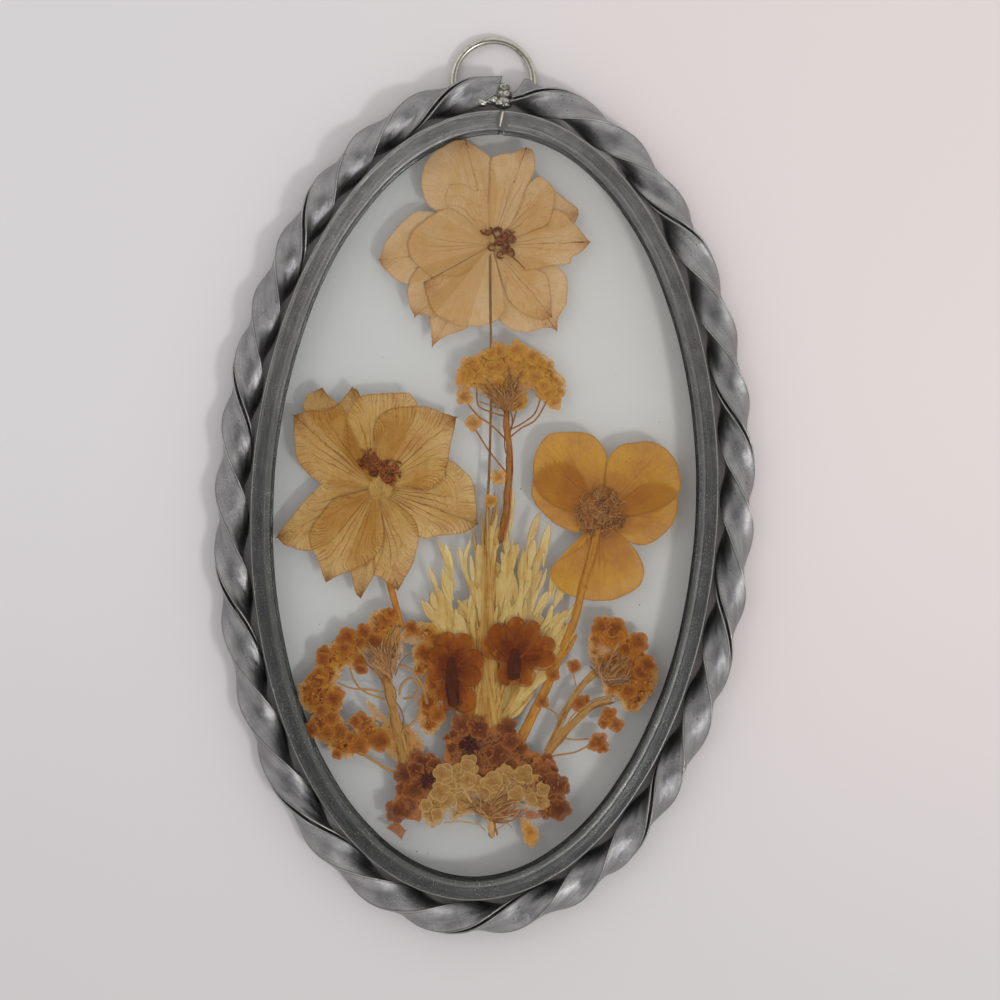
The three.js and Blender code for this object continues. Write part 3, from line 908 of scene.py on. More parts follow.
def petal_finish(name, colours, clear, veins=2.5, ribs=1.0, overlap=0.4, heart=0.1):
    """A dried petal: long veins, fine ribs towards the edge, blotches and a brown tip.

    Its colours are the thin petal, the stained petal, two petals together and the veins.
    """
    colour, stained, doubled, brown = colours
    finish = Finish(name)
    place = finish.place()
    vein_at, out = finish.surface()
    tone, margin, tip, ray, under = (
        finish.mark(mark) for mark in ("tone", "margin", "tip", "ray", "under")
    )
    wander = finish.streaks(vein_at * 9, out * 2.4, tone * 7) - 0.5
    comb = (vein_at + wander * 0.05) * 64
    broken = finish.streaks(vein_at * 45, out * 5, tone * 9)
    rib = (1 - abs(comb - comb.math("ROUND")).rise(0.04, 0.3)) * broken.rise(0.36, 0.6)
    rib = rib * ((1 - margin.rise(0.6, 5.0)) * 0.8 + 0.12) * ribs
    streak = finish.streaks(vein_at * 120, out * 3.0, tone * 5, 3)
    rays = (ray + wander * 0.14) * 9.5
    reach = (1 - abs(rays).rise(veins, veins + 0.2)) * (1 - out.rise(0.5, 0.95))
    main = (1 - abs(rays - rays.math("ROUND")).rise(0.02, 0.13)) * reach
    blotch = finish.noise(place, 240, 3, 0.6)
    grain = finish.noise(place, 2400, 3, 0.6)
    rim = 1 - margin.rise(0.05, 0.3)
    shade = blotch.rise(0.35, 0.7) * 0.5 + streak.rise(0.38, 0.72) * 0.35 + tone
    shade = shade + (1 - out.rise(0.15, 0.85)) * heart + (grain - 0.5) * 0.5
    base = finish.layered(
        colour,
        (stained, shade.clipped()),
        (doubled, (under * overlap).clipped()),
        (brown, (main * (0.25 + 0.4 * ribs) + rib * 0.6).clipped()),
        (brown, (tip * (0.2 + grain)).clipped()),
        (brown, (rim * 0.45 + grain.rise(0.62, 0.7) * 0.35).clipped()),
    )
    return finish.dried(
        base, 0.62 + grain * 0.15, 1 - clear + rib * 0.1 + main * 0.15 + rim * 0.12 + tip * 0.15,
        finish.bump(streak * 0.5 + grain * 0.4 - main - rib * 0.6, 0.06 * MM, 0.8),
    )


def stalk(surface, path, widths, height, thick=0.7, steps=28, sides=10, tone=0.0, swell=None):
    """A stem: a flattened oval carried along a smooth curve, tapering to closed ends.

    The half width goes evenly from the first width to the last, times `swell`, a function
    of the part of the length. The height is one number or goes from one to another.
    """
    line = through(path, steps)
    t = np.linspace(0, 1, steps)
    half = np.interp(t, np.linspace(0, 1, len(widths)), widths) / 2
    if swell is not None:
        half = half * swell(t)
    half[[0, -1]] = 0
    slope = np.gradient(line, axis=0)
    slope /= np.linalg.norm(slope, axis=1, keepdims=True)
    side = np.stack([slope[:, 1], -slope[:, 0]], axis=1)
    a = circle(sides)
    flat = line[:, None] + side[:, None] * (half[:, None] * np.cos(a))[..., None]
    middle = np.interp(t, np.linspace(0, 1, np.size(height)), np.atleast_1d(height))
    rise = np.minimum(half, STEM_THICKNESS)[:, None] * thick * np.sin(a)
    length = np.linalg.norm(np.diff(line, axis=0), axis=1).sum()
    grid = np.dstack([flat, middle[:, None] + rise])
    surface.add(
        grid, grid_uv(t * length / 10, sides),
        closed=True, solid=True, tone=tone, margin=WELL_INSIDE,
    )


def stem_finish(name, colour, dark, clear=0.0, outlined=0.0):
    """A dried stem: lengthwise fibres from straw to brown, darker along its two sides."""
    finish = Finish(name)
    place = finish.place()
    around, along = finish.surface()
    tone = finish.mark("tone")
    fibre = finish.streaks(around * 9, along * 2.4, tone * 13, 3, 0.6)
    spots = finish.noise(place, 800, 3, 0.6)
    sides = abs(abs(around - 0.5) - 0.25).rise(0.05, 0.22)
    shade = fibre.rise(0.35, 0.7) * 0.6 + spots.rise(0.5, 0.72) * 0.4 + tone
    shade = (shade + sides * outlined).clipped()
    return finish.dried(
        finish.mix(colour, dark, shade), 0.55 + spots * 0.2,
        1 - clear + fibre * clear * 0.5 + sides * clear * 0.5, finish.bump(fibre, 0.08 * MM, 0.8),
    )


def floret(surface, centre, radius, height, seed, lobes=4, depth=0.3, rows=5, columns=24):
    """A floret: a small crumpled disc whose edge swells into rounded lobes.

    The edge is at radius (1 - depth + depth |cos(lobes a / 2)|^0.6), made uneven.
    """
    random = np.random.default_rng(seed)
    a = circle(columns)
    turn = random.uniform(0, 2 * np.pi)
    uneven = 1 + 0.12 * np.sin(a + random.uniform(0, 6)) + 0.06 * np.sin(3 * a + turn)
    edge = radius * uneven * (1 - depth + depth * np.abs(np.cos(lobes * (a - turn) / 2)) ** 0.6)
    r = np.linspace(0, 1, rows)[:, None]
    flat = np.dstack([centre[0] + r * edge * np.cos(a), centre[1] + r * edge * np.sin(a)])
    crumple = CRUMPLE_HEIGHT * waves(flat, CRUMPLE_LENGTH, seed) * r
    margin = (1 - r) * np.broadcast_to(edge, flat.shape[:2])
    surface.add(
        np.dstack([flat, height + crumple]), grid_uv(r[:, 0], columns),
        closed=True, tone=0.2 * random.uniform(), margin=margin,
    )


def floret_finish(name, colour, core, rim, clear, reach=0.75, rimmed=0.6):
    """A dried floret: dark in the middle, crumpled, and thin and pale towards its edge."""
    finish = Finish(name)
    place = finish.place()
    around, out = finish.surface()
    tone = finish.mark("tone")
    margin = finish.mark("margin")
    crumple = finish.noise(place, 1500, 4, 0.65)
    vein = finish.streaks(around * 16, out * 1.4, tone * 9)
    blotch = finish.noise(place, 420, 3, 0.6)
    middle = 1 - (out + (crumple - 0.5) * 2.4).rise(0.1, reach)
    shade = (middle * 0.8 + tone + blotch.rise(0.42, 0.72) * 0.35 + (crumple - 0.5) * 1.6).clipped()
    crease = crumple.line(0.5, 0.035) * 0.8 + vein.line(0.5, 0.05) * 0.35
    worn = (1 - margin.rise(0.05, 0.3)) * rimmed
    base = finish.layered(colour, (core, shade), (core, crease.clipped()), (rim, worn))
    return finish.dried(
        base, 0.6 + crumple * 0.2, 1 - clear + middle * clear * 0.8 + crease * 0.15,
        finish.bump(crumple, 0.18 * MM),
    )


def heap(surface, outline, height, seed, lobe=1.7, depth=0.4, tone=0.0, core=None, holes=(),
         rows=22, columns=220):
    """A heap of florets pressed into one: spokes from its middle to a scalloped outline.

    The outline goes in by depth (1 - |sin|^0.6) between lobes of about the given length,
    and the heap rises and sinks with a smooth random height. `core` is a path and a radius
    round it, and `holes` are the (x, y, radius) of the thin places.
    """
    edge = through(outline, columns, closed=True)
    hub = edge.mean(axis=0)
    inward = hub - edge
    inward /= np.linalg.norm(inward, axis=1, keepdims=True)
    s = np.arange(columns) / columns
    length = np.linalg.norm(np.diff(edge, axis=0), axis=1).sum()
    phase = s * round(length / lobe) + 0.35 * np.sin(2 * np.pi * 3 * s + seed)
    edge = edge + inward * (depth * (1 - np.abs(np.sin(np.pi * phase)) ** 0.6))[:, None]
    r = np.linspace(0, 1, rows)
    flat = hub + r[:, None, None] * (edge - hub)
    gap = np.linalg.norm(flat[:, :, None] - edge, axis=3)
    rise = HEAP_HEIGHT * waves(flat, HEAP_LENGTH, seed) * r[:, None]
    thin = sum(closeness(flat, [(x, y)], radius) for x, y, radius in holes)
    surface.add(
        np.dstack([flat, height + rise]), grid_uv(r, columns), closed=True, tone=tone,
        margin=gap.min(axis=2), core=closeness(flat, *core) if core else 0.0, hole=thin,
    )


def heap_finish(name, colours, clear=0.3, edge=1.3, core=0.7, specks=0.7):
    """Heaped dried florets: thin at the edge, crumpled inside, with specks and a core.

    Its colours are the thin edge, the inside, the specks, the flecks and the core.
    """
    thin, thick, dark, pale, middle = colours
    finish = Finish(name)
    place = finish.place()
    tone, margin, core_at, hole = (finish.mark(m) for m in ("tone", "margin", "core", "hole"))
    lump = finish.noise(place, 620, 3)
    crumple = finish.noise(place, 1500, 4, 0.7)
    fleck = finish.noise(place, 2600, 3, 0.7)
    cell = finish.node(
        "ShaderNodeTexVoronoi", {"feature": "DISTANCE_TO_EDGE"},
        {"Vector": place, "Scale": 520.0, "Randomness": 1.0},
    )
    inward = (margin + (lump - 0.5) * 2.0).rise(0.1, edge)
    crease = (1 - cell.rise(0.0, 0.09)) * 0.5
    spot = crumple.rise(0.52, 0.66) * (0.35 + inward * 0.65) * specks
    base = finish.layered(
        thin,
        (thick, (inward * 0.85 + tone).clipped()),
        (dark, (spot + crease * inward * specks).clipped()),
        (middle, (core_at * core + core_at * (crumple - 0.5) * 2).clipped()),
        (pale, (fleck.rise(0.57, 0.66) * 0.55).clipped()),
    )
    return finish.dried(
        base, 0.6 + crumple * 0.2, 1 - (1 - inward) * clear - hole.rise(0.35, 0.75) * 0.85,
        finish.bump(crumple + lump * 0.6, 0.3 * MM),
    )


def ring_of(centre, radii, seed=0, count=9):
    """The outline of an uneven oval."""
    random = np.random.default_rng(seed)
    a = circle(count)
    reach = random.uniform(0.86, 1.1, count)
    return np.stack([
        centre[0] + radii[0] * reach * np.cos(a), centre[1] + radii[1] * reach * np.sin(a)
    ], axis=1)


TOP_HUB = (-0.7, 43.3)
# Each petal: its outline from the hub's one side round to the other, the number of the
# point that is its tip or None, its layer, and how much darker it is than the palest.
TOP_PETALS = [
    ([(-9.1, 48.6), (-11.5, 49.5), (-12.8, 52.2), (-12.8, 54.6), (-11.6, 57.6), (-8.1, 60.2),
      (-5.8, 60.7), (-2.2, 58.5), (-0.8, 56.6), (-0.1, 52.3)], 6, 2, 0.1),
    ([(-1.6, 50.4), (-1.5, 54.4), (-1.3, 57.9), (1.6, 58.7), (4.3, 59.9), (5.5, 59.1),
      (5.9, 56.2), (4.6, 53.0), (2.8, 47.9)], 4, 4, 0.05),
    ([(2.8, 47.9), (4.3, 51.2), (4.6, 53.2), (6.5, 55.1), (8.4, 54.2), (9.4, 52.4),
      (9.2, 50.0), (8.5, 47.3), (5.7, 46.0)], None, 3, 0.1),
    ([(8.4, 54.2), (11.1, 51.6), (13.2, 50.2), (13.4, 48.9), (12.3, 47.2), (8.1, 46.0)], 3, 0, 0.3),
    ([(5.7, 46.0), (8.5, 47.3), (9.2, 49.7), (11.2, 49.3), (12.8, 47.5), (15.6, 44.7),
      (14.4, 43.1), (12.9, 42.0), (12.3, 40.8), (9.6, 40.4), (6.5, 39.7), (4.8, 39.3)], 5, 2, 0.3),
    ([(10.6, 40.3), (12.1, 38.2), (12.1, 34.3), (11.0, 31.8), (10.8, 29.6), (9.3, 30.0),
      (5.6, 29.2), (2.9, 29.6), (0.2, 31.8)], 4, 0, 0.25),
    ([(-3.7, 39.5), (-6.1, 37.9), (-9.1, 37.9), (-11.7, 36.4), (-10.9, 34.1), (-9.8, 31.7),
      (-7.4, 30.5), (-4.7, 29.6), (-0.4, 30.3), (1.7, 32.2), (1.7, 34.7)], 3, 4, 0.0),
    ([(-11.3, 33.8), (-10.5, 30.7), (-9.9, 26.2), (-8.5, 27.4), (-6.5, 28.5), (-4.1, 29.4)],
     2, 0, 0.25),
    ([(-12.8, 39.1), (-14.2, 36.5), (-14.3, 33.8), (-13.1, 30.9), (-11.8, 31.4), (-10.1, 30.8)],
     3, 2, 0.15),
    ([(-4.0, 46.8), (-6.6, 48.7), (-8.6, 49.1), (-11.2, 47.6), (-13.1, 45.9), (-14.4, 44.0),
      (-14.6, 42.3), (-13.7, 40.3), (-10.8, 37.8), (-8.1, 37.6), (-5.6, 38.2), (-3.7, 39.5)],
     None, 3, 0.1),
    ([(-10.9, 48.6), (-13.9, 48.2), (-16.5, 45.7), (-18.2, 43.5), (-19.4, 40.1), (-18.1, 38.3),
      (-16.2, 36.9), (-14.0, 36.0)], 4, 0, 0.05),
]
TOP_FOLDS = [
    ([(2.2, 38.2), (1.8, 36.4), (2.7, 34.1), (5.0, 32.3), (7.9, 31.3), (9.8, 31.9), (9.6, 34.7),
      (8.7, 38.7), (6.8, 39.8)], 5, 1, 0.25),
    ([(-3.5, 47.1), (-6.1, 49.5), (-8.6, 49.7), (-8.3, 52.8), (-6.0, 53.4), (-4.1, 52.5),
      (-0.2, 52.3), (0.4, 49.0)], None, 2.4, 0.15),
]

LEFT_HUB = (-18.2, 2.1)
LEFT_PETALS = [
    ([(-27.6, 2.5), (-30.0, 4.3), (-31.6, 6.7), (-32.2, 10.3), (-32.4, 13.6), (-29.9, 14.4),
      (-27.1, 14.6), (-24.6, 15.7), (-23.7, 13.2), (-22.8, 8.2)], 4, 3, 0.25),
    ([(-28.4, 13.0), (-30.9, 14.7), (-30.4, 16.8), (-29.2, 17.8), (-27.9, 18.4), (-26.5, 16.9),
      (-24.8, 15.7)], 4, 1, 0.15),
    ([(-23.0, 6.2), (-24.0, 9.9), (-23.7, 13.7), (-22.2, 16.5), (-19.9, 17.7), (-16.6, 18.0),
      (-13.2, 18.0), (-11.8, 15.7), (-13.3, 11.7)], None, 2, 0.1),
    ([(-18.7, 9.8), (-19.0, 11.8), (-18.1, 14.1), (-15.5, 15.7), (-12.5, 15.9), (-9.5, 15.8),
      (-5.4, 14.4), (-5.8, 11.2), (-6.7, 5.6), (-7.9, 3.4), (-10.0, 2.5), (-13.9, 2.6)], 6, 3, 0.15),
    ([(-13.9, 2.6), (-9.5, 2.2), (-6.9, 3.9), (-6.4, 7.3), (-4.4, 6.2), (-2.1, 3.8),
      (-1.4, 0.5), (-0.9, -3.1), (-3.2, -4.6), (-7.2, -5.4), (-10.8, -5.6), (-14.4, -0.9)],
     7, 1, 0.05),
    ([(-14.4, -0.4), (-11.6, -2.8), (-10.7, -5.4), (-10.8, -7.6), (-11.6, -10.8), (-12.7, -12.7),
      (-13.8, -14.9), (-15.3, -13.8), (-16.9, -12.7), (-17.9, -12.1), (-16.4, -7.3),
      (-17.0, -2.3)], 6, 2, 0.1),
    ([(-22.3, -10.1), (-21.5, -13.1), (-20.8, -15.4), (-19.9, -16.3), (-19.1, -14.8),
      (-17.6, -11.9)], 3, 1, 0.2),
    ([(-21.5, 0.3), (-24.6, 0.3), (-26.5, -1.8), (-28.7, -5.2), (-28.6, -7.9), (-27.1, -11.0),
      (-26.4, -12.9), (-25.8, -14.0), (-24.2, -13.0), (-21.1, -11.5), (-17.5, -9.0),
      (-16.5, -6.3), (-17.0, -2.3)], 7, 3, 0.15),
    ([(-21.6, 3.0), (-24.1, 3.2), (-26.4, 2.9), (-28.7, 1.0), (-32.1, -3.3), (-34.5, -6.9),
      (-32.8, -8.0), (-29.2, -8.9), (-25.8, -7.7)], 5, 1, 0.05),
]
LEFT_FOLDS = [
    ([(-25.1, 15.8), (-24.0, 17.2), (-22.9, 18.8), (-21.9, 18.1), (-21.2, 16.3)], 2, 1.5, 0.1),
]

BUTTERCUP_HUB = (19.3, -0.7)
BUTTERCUP_PETALS = [
    ([(14.3, -0.5), (10.0, 1.4), (7.9, 4.9), (8.2, 9.1), (10.2, 12.2), (13.7, 12.9),
      (17.4, 12.4), (19.8, 9.8), (20.0, 5.1)], None, 3, 0.0),
    ([(19.8, 4.1), (20.1, 8.1), (21.8, 10.7), (24.6, 11.7), (27.4, 11.8), (29.8, 10.7),
      (31.7, 8.3), (32.4, 5.2), (31.2, 2.1), (27.3, 0.1), (22.3, -0.8)], None, 4, 0.0),
    ([(21.6, 1.0), (24.8, 4.0), (28.2, 5.0), (31.2, 4.5), (32.2, 2.2), (31.7, -1.0),
      (30.1, -3.4), (27.5, -5.2), (24.8, -5.2), (21.7, -3.1)], None, 2, 0.1),
    ([(18.1, -4.3), (15.9, -6.6), (13.3, -8.3), (11.5, -9.9), (11.8, -11.9), (13.9, -13.8),
      (16.9, -14.8), (19.9, -15.0), (22.9, -14.4), (25.5, -13.1), (26.9, -11.2), (26.8, -8.6),
      (24.9, -5.7), (21.4, -3.8)], None, 3, 0.0),
    ([(17.5, 1.7), (16.5, 5.0), (13.9, 7.5), (10.8, 7.6), (8.3, 5.5), (7.8, 2.8), (8.6, 0.5),
      (10.8, -1.8), (13.1, -3.0), (15.4, -3.7), (17.7, -3.0)], None, 2, 0.15),
]


def lay_petals(name, hub, petals, folds, material, slot, seed):
    """Lays one flower's petals as a piece each, and its folded pieces as one more."""
    shapes = [np.vstack([through(outline, 60), [hub]]) for outline, *_ in petals]
    layers = [layer for _, _, layer, _ in petals]
    for number, (outline, tip, layer, tone) in enumerate(petals, 1):
        below = [shape for shape, other in zip(shapes, layers) if other < layer]
        surface = Surface()
        petal(surface, hub, outline, level(layer), tip, tone, seed + number, below)
        surface.build(f"{name}_leaf_{number}", material, slot, f"{name}_petal_{number}")
    if folds:
        surface = Surface()
        for number, (outline, tip, layer, tone) in enumerate(folds, 1):
            petal(surface, hub, outline, level(layer), tip, tone, seed + 30 + number)
        surface.build(f"{name}_folds", material, slot)


def curls(surface, centre, spread, count, height, seed, size=1.3, width=0.42):
    """Curled stamens: short arcs of a circle heaped round a centre."""
    random = np.random.default_rng(seed)
    for _ in range(count):
        middle = np.array(centre) + np.clip(random.normal(0, 1, 2), -1.3, 1.3) * spread
        start, sweep = random.uniform(0, 2 * np.pi), random.uniform(1.5, 4.2)
        a = start + np.linspace(0, sweep, 6)
        radius = size * random.uniform(0.35, 0.8)
        path = np.stack([middle[0] + radius * np.cos(a), middle[1] + radius * np.sin(a)], axis=1)
        lift = height + random.uniform(0, 0.2)
        stalk(surface, path, (width, 0.7 * width), lift, 1.0, 12, 6, random.uniform(0, 0.6))


class FLOWERFRAME_OT_top_larkspur(bpy.types.Operator):
    """Presses the pale larkspur at the top"""

    bl_idname = "flowerframe.top_larkspur"
    bl_label = "Top larkspur"
    stamens = [  # the centre, the spread and the count of each tuft
        ((1.4, 45.0), (0.9, 0.7), 16), ((1.6, 42.4), (0.6, 0.5), 8),
        ((-1.5, 45.6), (0.3, 0.4), 4), ((0.4, 43.9), (0.8, 0.8), 8),
    ]
    stem = [(-0.9, 42), (-0.5, 34), (-0.1, 26.4), (0.3, 17.6), (0.5, 8), (0.5, 1.8), (0.2, -21)]
    stem_layers = [5.2, 5.1, 5, 1.6, *[0.3] * 8, 0.6]

    def execute(self, context):
        colours = context.scene.flower_colours
        material = petal_finish(
            "pale petal",
            [colours.larkspur_pale, *lights((196, 150, 92), (184, 140, 86), (138, 88, 46))],
            colours.clearness, veins=1.2, ribs=0.5,
        )
        lay_petals("larkspur_top", TOP_HUB, TOP_PETALS, TOP_FOLDS, material, "pale_petal", 100)
        dark = stem_finish("pale stamens", *lights((146, 92, 66), (92, 48, 34)))
        stamens = Surface()
        for centre, spread, count in self.stamens:
            curls(stamens, centre, spread, count, level(5), count + 7, 1.1, 0.36)
        stalk(stamens, [(2.0, 42.0), (3.6, 40.9), (5.0, 39.6)], (0.3, 0.2), level(5.4))
        stamens.build("larkspur_top_curls", dark, "stamens", "larkspur_top_stamens")
        stem = Surface()
        heights = [level(layer) for layer in self.stem_layers]
        stalk(stem, self.stem, (0.34, 0.38, 0.44, 0.58), heights, steps=90)
        material = stem_finish("thin stem", *lights((136, 100, 60), (92, 66, 42)))
        stem.build("larkspur_top_stalk", material, "dry_stem", "larkspur_top_stem")
        return {"FINISHED"}


class FLOWERFRAME_OT_left_larkspur(bpy.types.Operator):
    """Presses the golden larkspur on the left"""

    bl_idname = "flowerframe.left_larkspur"
    bl_label = "Left larkspur"
    stamens = [  # the centre, the spread and the count of each tuft
        ((-19.6, 6.3), (0.8, 1.1), 26), ((-16.1, 5.2), (1.1, 0.8), 27),
        ((-15.8, 3.7), (0.5, 0.4), 6), ((-17.8, 5.6), (0.6, 0.4), 8),
    ]
    crown = [(-18.8, 0.2), (-19.4, 2.2), (-18.2, 4.2), (-16.4, 3.8), (-15.2, 2.4), (-15.8, 0.6)]
    stem = [(-15.4, -13), (-13.6, -18.7), (-12.7, -21.3)]

    def execute(self, context):
        colours = context.scene.flower_colours
        material = petal_finish(
            "golden petal",
            [colours.larkspur_gold, *lights((172, 118, 50), (160, 106, 44), (104, 58, 22))],
            colours.clearness,
        )
        lay_petals("larkspur_left", LEFT_HUB, LEFT_PETALS, LEFT_FOLDS, material, "golden_petal", 200)
        dark = stem_finish("red stamens", *lights((160, 92, 54), (84, 38, 22)))
        stamens = Surface()
        for centre, spread, count in self.stamens:
            curls(stamens, centre, spread, count, level(4), count + 3, 1.1, 0.38)
        stamens.build("larkspur_left_curls", dark, "stamens", "larkspur_left_stamens")
        crown = Surface()
        petal(crown, (-17.2, 0.4), self.crown, level(3.6), tone=0.1, seed=91)
        crown.build("larkspur_left_crown", material, "golden_petal")
        stem = Surface()
        stalk(stem, self.stem, (1.2, 1.0), level(0.6))
        brown = stem_finish("golden stem", colours.stem, linear(130, 78, 30))
        stem.build("larkspur_left_stalk", brown, "dry_stem", "larkspur_left_stem")
        return {"FINISHED"}


class FLOWERFRAME_OT_buttercup(bpy.types.Operator):
    """Presses the buttercup on the right"""

    bl_idname = "flowerframe.buttercup"
    bl_label = "Buttercup"
    middle = (19.4, -0.1)
    stamens = 240
    reach = 4.6  # of the stamens from the middle
    stem = [
        (19.2, -1), (18.5, -6), (17.4, -10.8), (16.8, -13.4), (15.8, -18.5), (13.7, -24.2),
        (11.7, -29.7), (9.7, -34.2), (8.1, -37.9), (7.4, -39.4),
    ]
    stem_layers = [3.9, 3.9, 3.6, 1.2, 1, 1, 1]
    ridge = [(16.3, -20.6), (15.2, -23.2), (13.2, -26.0), (11.6, -30)]

    def execute(self, context):
        colours = context.scene.flower_colours
        material = petal_finish(
            "amber petal",
            [colours.buttercup, *lights((160, 104, 50), (140, 80, 30), (122, 68, 26))],
            clear=0.6 * colours.clearness, veins=1.2, ribs=0.35, overlap=0.5, heart=0.9,
        )
        lay_petals("buttercup", BUTTERCUP_HUB, BUTTERCUP_PETALS, [], material, "amber_petal", 300)
        self.lay_stamens()
        self.lay_eye()
        stem = Surface()
        heights = [level(layer) for layer in self.stem_layers]
        stalk(stem, self.stem, (1.3, 1.3, 1.5, 1.7), heights, steps=60)
        stalk(stem, self.ridge, (0.5, 0.8, 0.4), level(1.4))
        brown = stem_finish("amber stem", *lights((182, 128, 56), (140, 88, 38)), 0.2, 0.3)
        stem.build("buttercup_stalk", brown, "dry_stem", "buttercup_stem")
        return {"FINISHED"}

    def lay_stamens(self):
        """Threads that point outwards, more or less, and a few curls in the middle."""
        random = np.random.default_rng(31)
        surface = Surface()
        for _ in range(self.stamens):
            angle = random.uniform(0, 2 * np.pi)
            reach = self.reach * random.uniform(0.02, 1) ** 0.7
            tip = self.middle + reach * np.array([np.cos(angle), np.sin(angle)])
            aim = angle + random.normal(0, 0.9)
            root = tip - random.uniform(0.8, 2.0) * np.array([np.cos(aim), np.sin(aim)])
            side = random.normal(0, 0.3, 2)
            path = [root, (root + tip) / 2 + side, tip]
            stalk(surface, path, (0.1, 0.19), level(random.uniform(4.6, 6.2)), 1, 7, 5,
                  random.uniform(-0.3, 0.8))
        curls(surface, (19.2, -1.2), (1.2, 0.9), 30, level(5), 8, 0.9, 0.3)
        fuzz = stem_finish("fuzzy stamens", *lights((194, 146, 96), (122, 70, 42)), 0.3)
        surface.build("buttercup_fuzz", fuzz, "stamens", "buttercup_stamens")

    def lay_eye(self):
        """The haze of pollen under the stamens."""
        surface = Surface()
        heap(surface, ring_of((19.2, -0.4), (5.4, 5.2), 6), level(4.4), 61, 1.6, 0.3)
        pollen = heap_finish(
            "pollen",
            lights((176, 116, 56), (156, 100, 64), (112, 62, 40), (200, 150, 100), (150, 100, 60)),
            clear=1.0, edge=3.6, core=0.0,
        )
        surface.build("buttercup_eye", pollen, "stamens")


def scattered(surface, outline, count, radii, heights, seed, lobes=4):
    """Florets strewn at random over an outline, the lowest first."""
    random = np.random.default_rng(seed)
    outline = through(outline, 80, closed=True)
    low, high = outline.min(axis=0), outline.max(axis=0)
    spots = random.uniform(low, high, (6 * count, 2))
    spots = spots[inside(spots, outline) > 0.5][:count]
    for number, spot in enumerate(spots):
        lift = heights[0] + (heights[1] - heights[0]) * number / count
        floret(surface, spot, random.uniform(*radii), lift, seed + number, lobes, rows=4, columns=22)


def fibres(surface, root, centre, spread, count, height, seed, width=0.26):
    """Fine pedicels from about the root to places strewn round a centre."""
    random = np.random.default_rng(seed)
    for _ in range(count):
        tip = np.array(centre) + random.normal(0, 1, 2) * spread
        start = np.array(root) + random.normal(0, 0.5, 2)
        bend = (start + tip) / 2 + random.normal(0, 0.5, 2)
        lift = height + random.uniform(0, 0.25)
        stalk(surface, [start, bend, tip], (width, 0.8 * width), lift, 1, 9, 5, random.uniform(0, 0.9))


# Each head: the outline of its heap, its fibrous core, its thin places, the florets
# (x, y, radius) that stand free of it, and its stems as paths with their widths.
TOP_HEAD = {
    "heaps": [
        [(-5.6, 19.6), (-5.6, 21.7), (-4.3, 23.6), (-2.4, 25.3), (-0.5, 26.2), (1.5, 26.4),
         (3.4, 27.1), (5.4, 26.9), (6.9, 26.0), (8.9, 25.6), (10.5, 24.5), (11.0, 22.9),
         (12.2, 22.1), (12.9, 20.1), (12.2, 18.2), (10.5, 17.1), (9.5, 17.3), (8.3, 18.5),
         (6.8, 18.6), (6.1, 16.8), (4.6, 16.2), (2.4, 15.9), (0.9, 17.0), (-1.2, 18.4),
         (-2.9, 19.4), (-4.2, 19.2)],
    ],
    "core": ([(1.0, 20.4), (5.0, 19.4)], 2.3),
    "holes": [(7.0, 19.0, 1.0)],
    "florets": [(-4.3, 18.0, 1.6), (-2.5, 13.5, 1.5), (2.2, 4.9, 1.4), (0.9, 0.9, 1.2),
                (9.4, 19.4, 1.7), (5.2, 17.6, 1.3)],
    "fibres": ((3.1, 16.2), (2.4, 19.6), (2.3, 1.5), 60),
    "stems": [
        ([(3.0, 17.2), (3.1, 13.8), (3.7, 9.9), (3.9, 6.7), (3.8, 2.5), (3.6, -1.9), (2.9, -6.1)],
         (0.9, 1.0, 1.2, 1.3, 1.3)),
        ([(-4.0, 17.4), (-1.7, 14.8), (0.6, 13.4), (3.4, 10.8)], (0.28, 0.28)),
        ([(-2.2, 19.8), (-1.8, 16.7), (0.0, 15.7), (3.0, 14.9)], (0.28, 0.28)),
        ([(-2.3, 12.9), (0.3, 9.2), (3.6, 5.4)], (0.28, 0.28)),
        ([(8.8, 19.6), (7.8, 15.9), (5.9, 14.1), (3.3, 12.6)], (0.28, 0.28)),
        ([(9.9, 18.4), (7.9, 14.7), (5.5, 13.1), (3.4, 11.2)], (0.28, 0.28)),
        ([(4.8, 17.0), (4.2, 14.2), (3.4, 12.0)], (0.28, 0.28)),
    ],
}
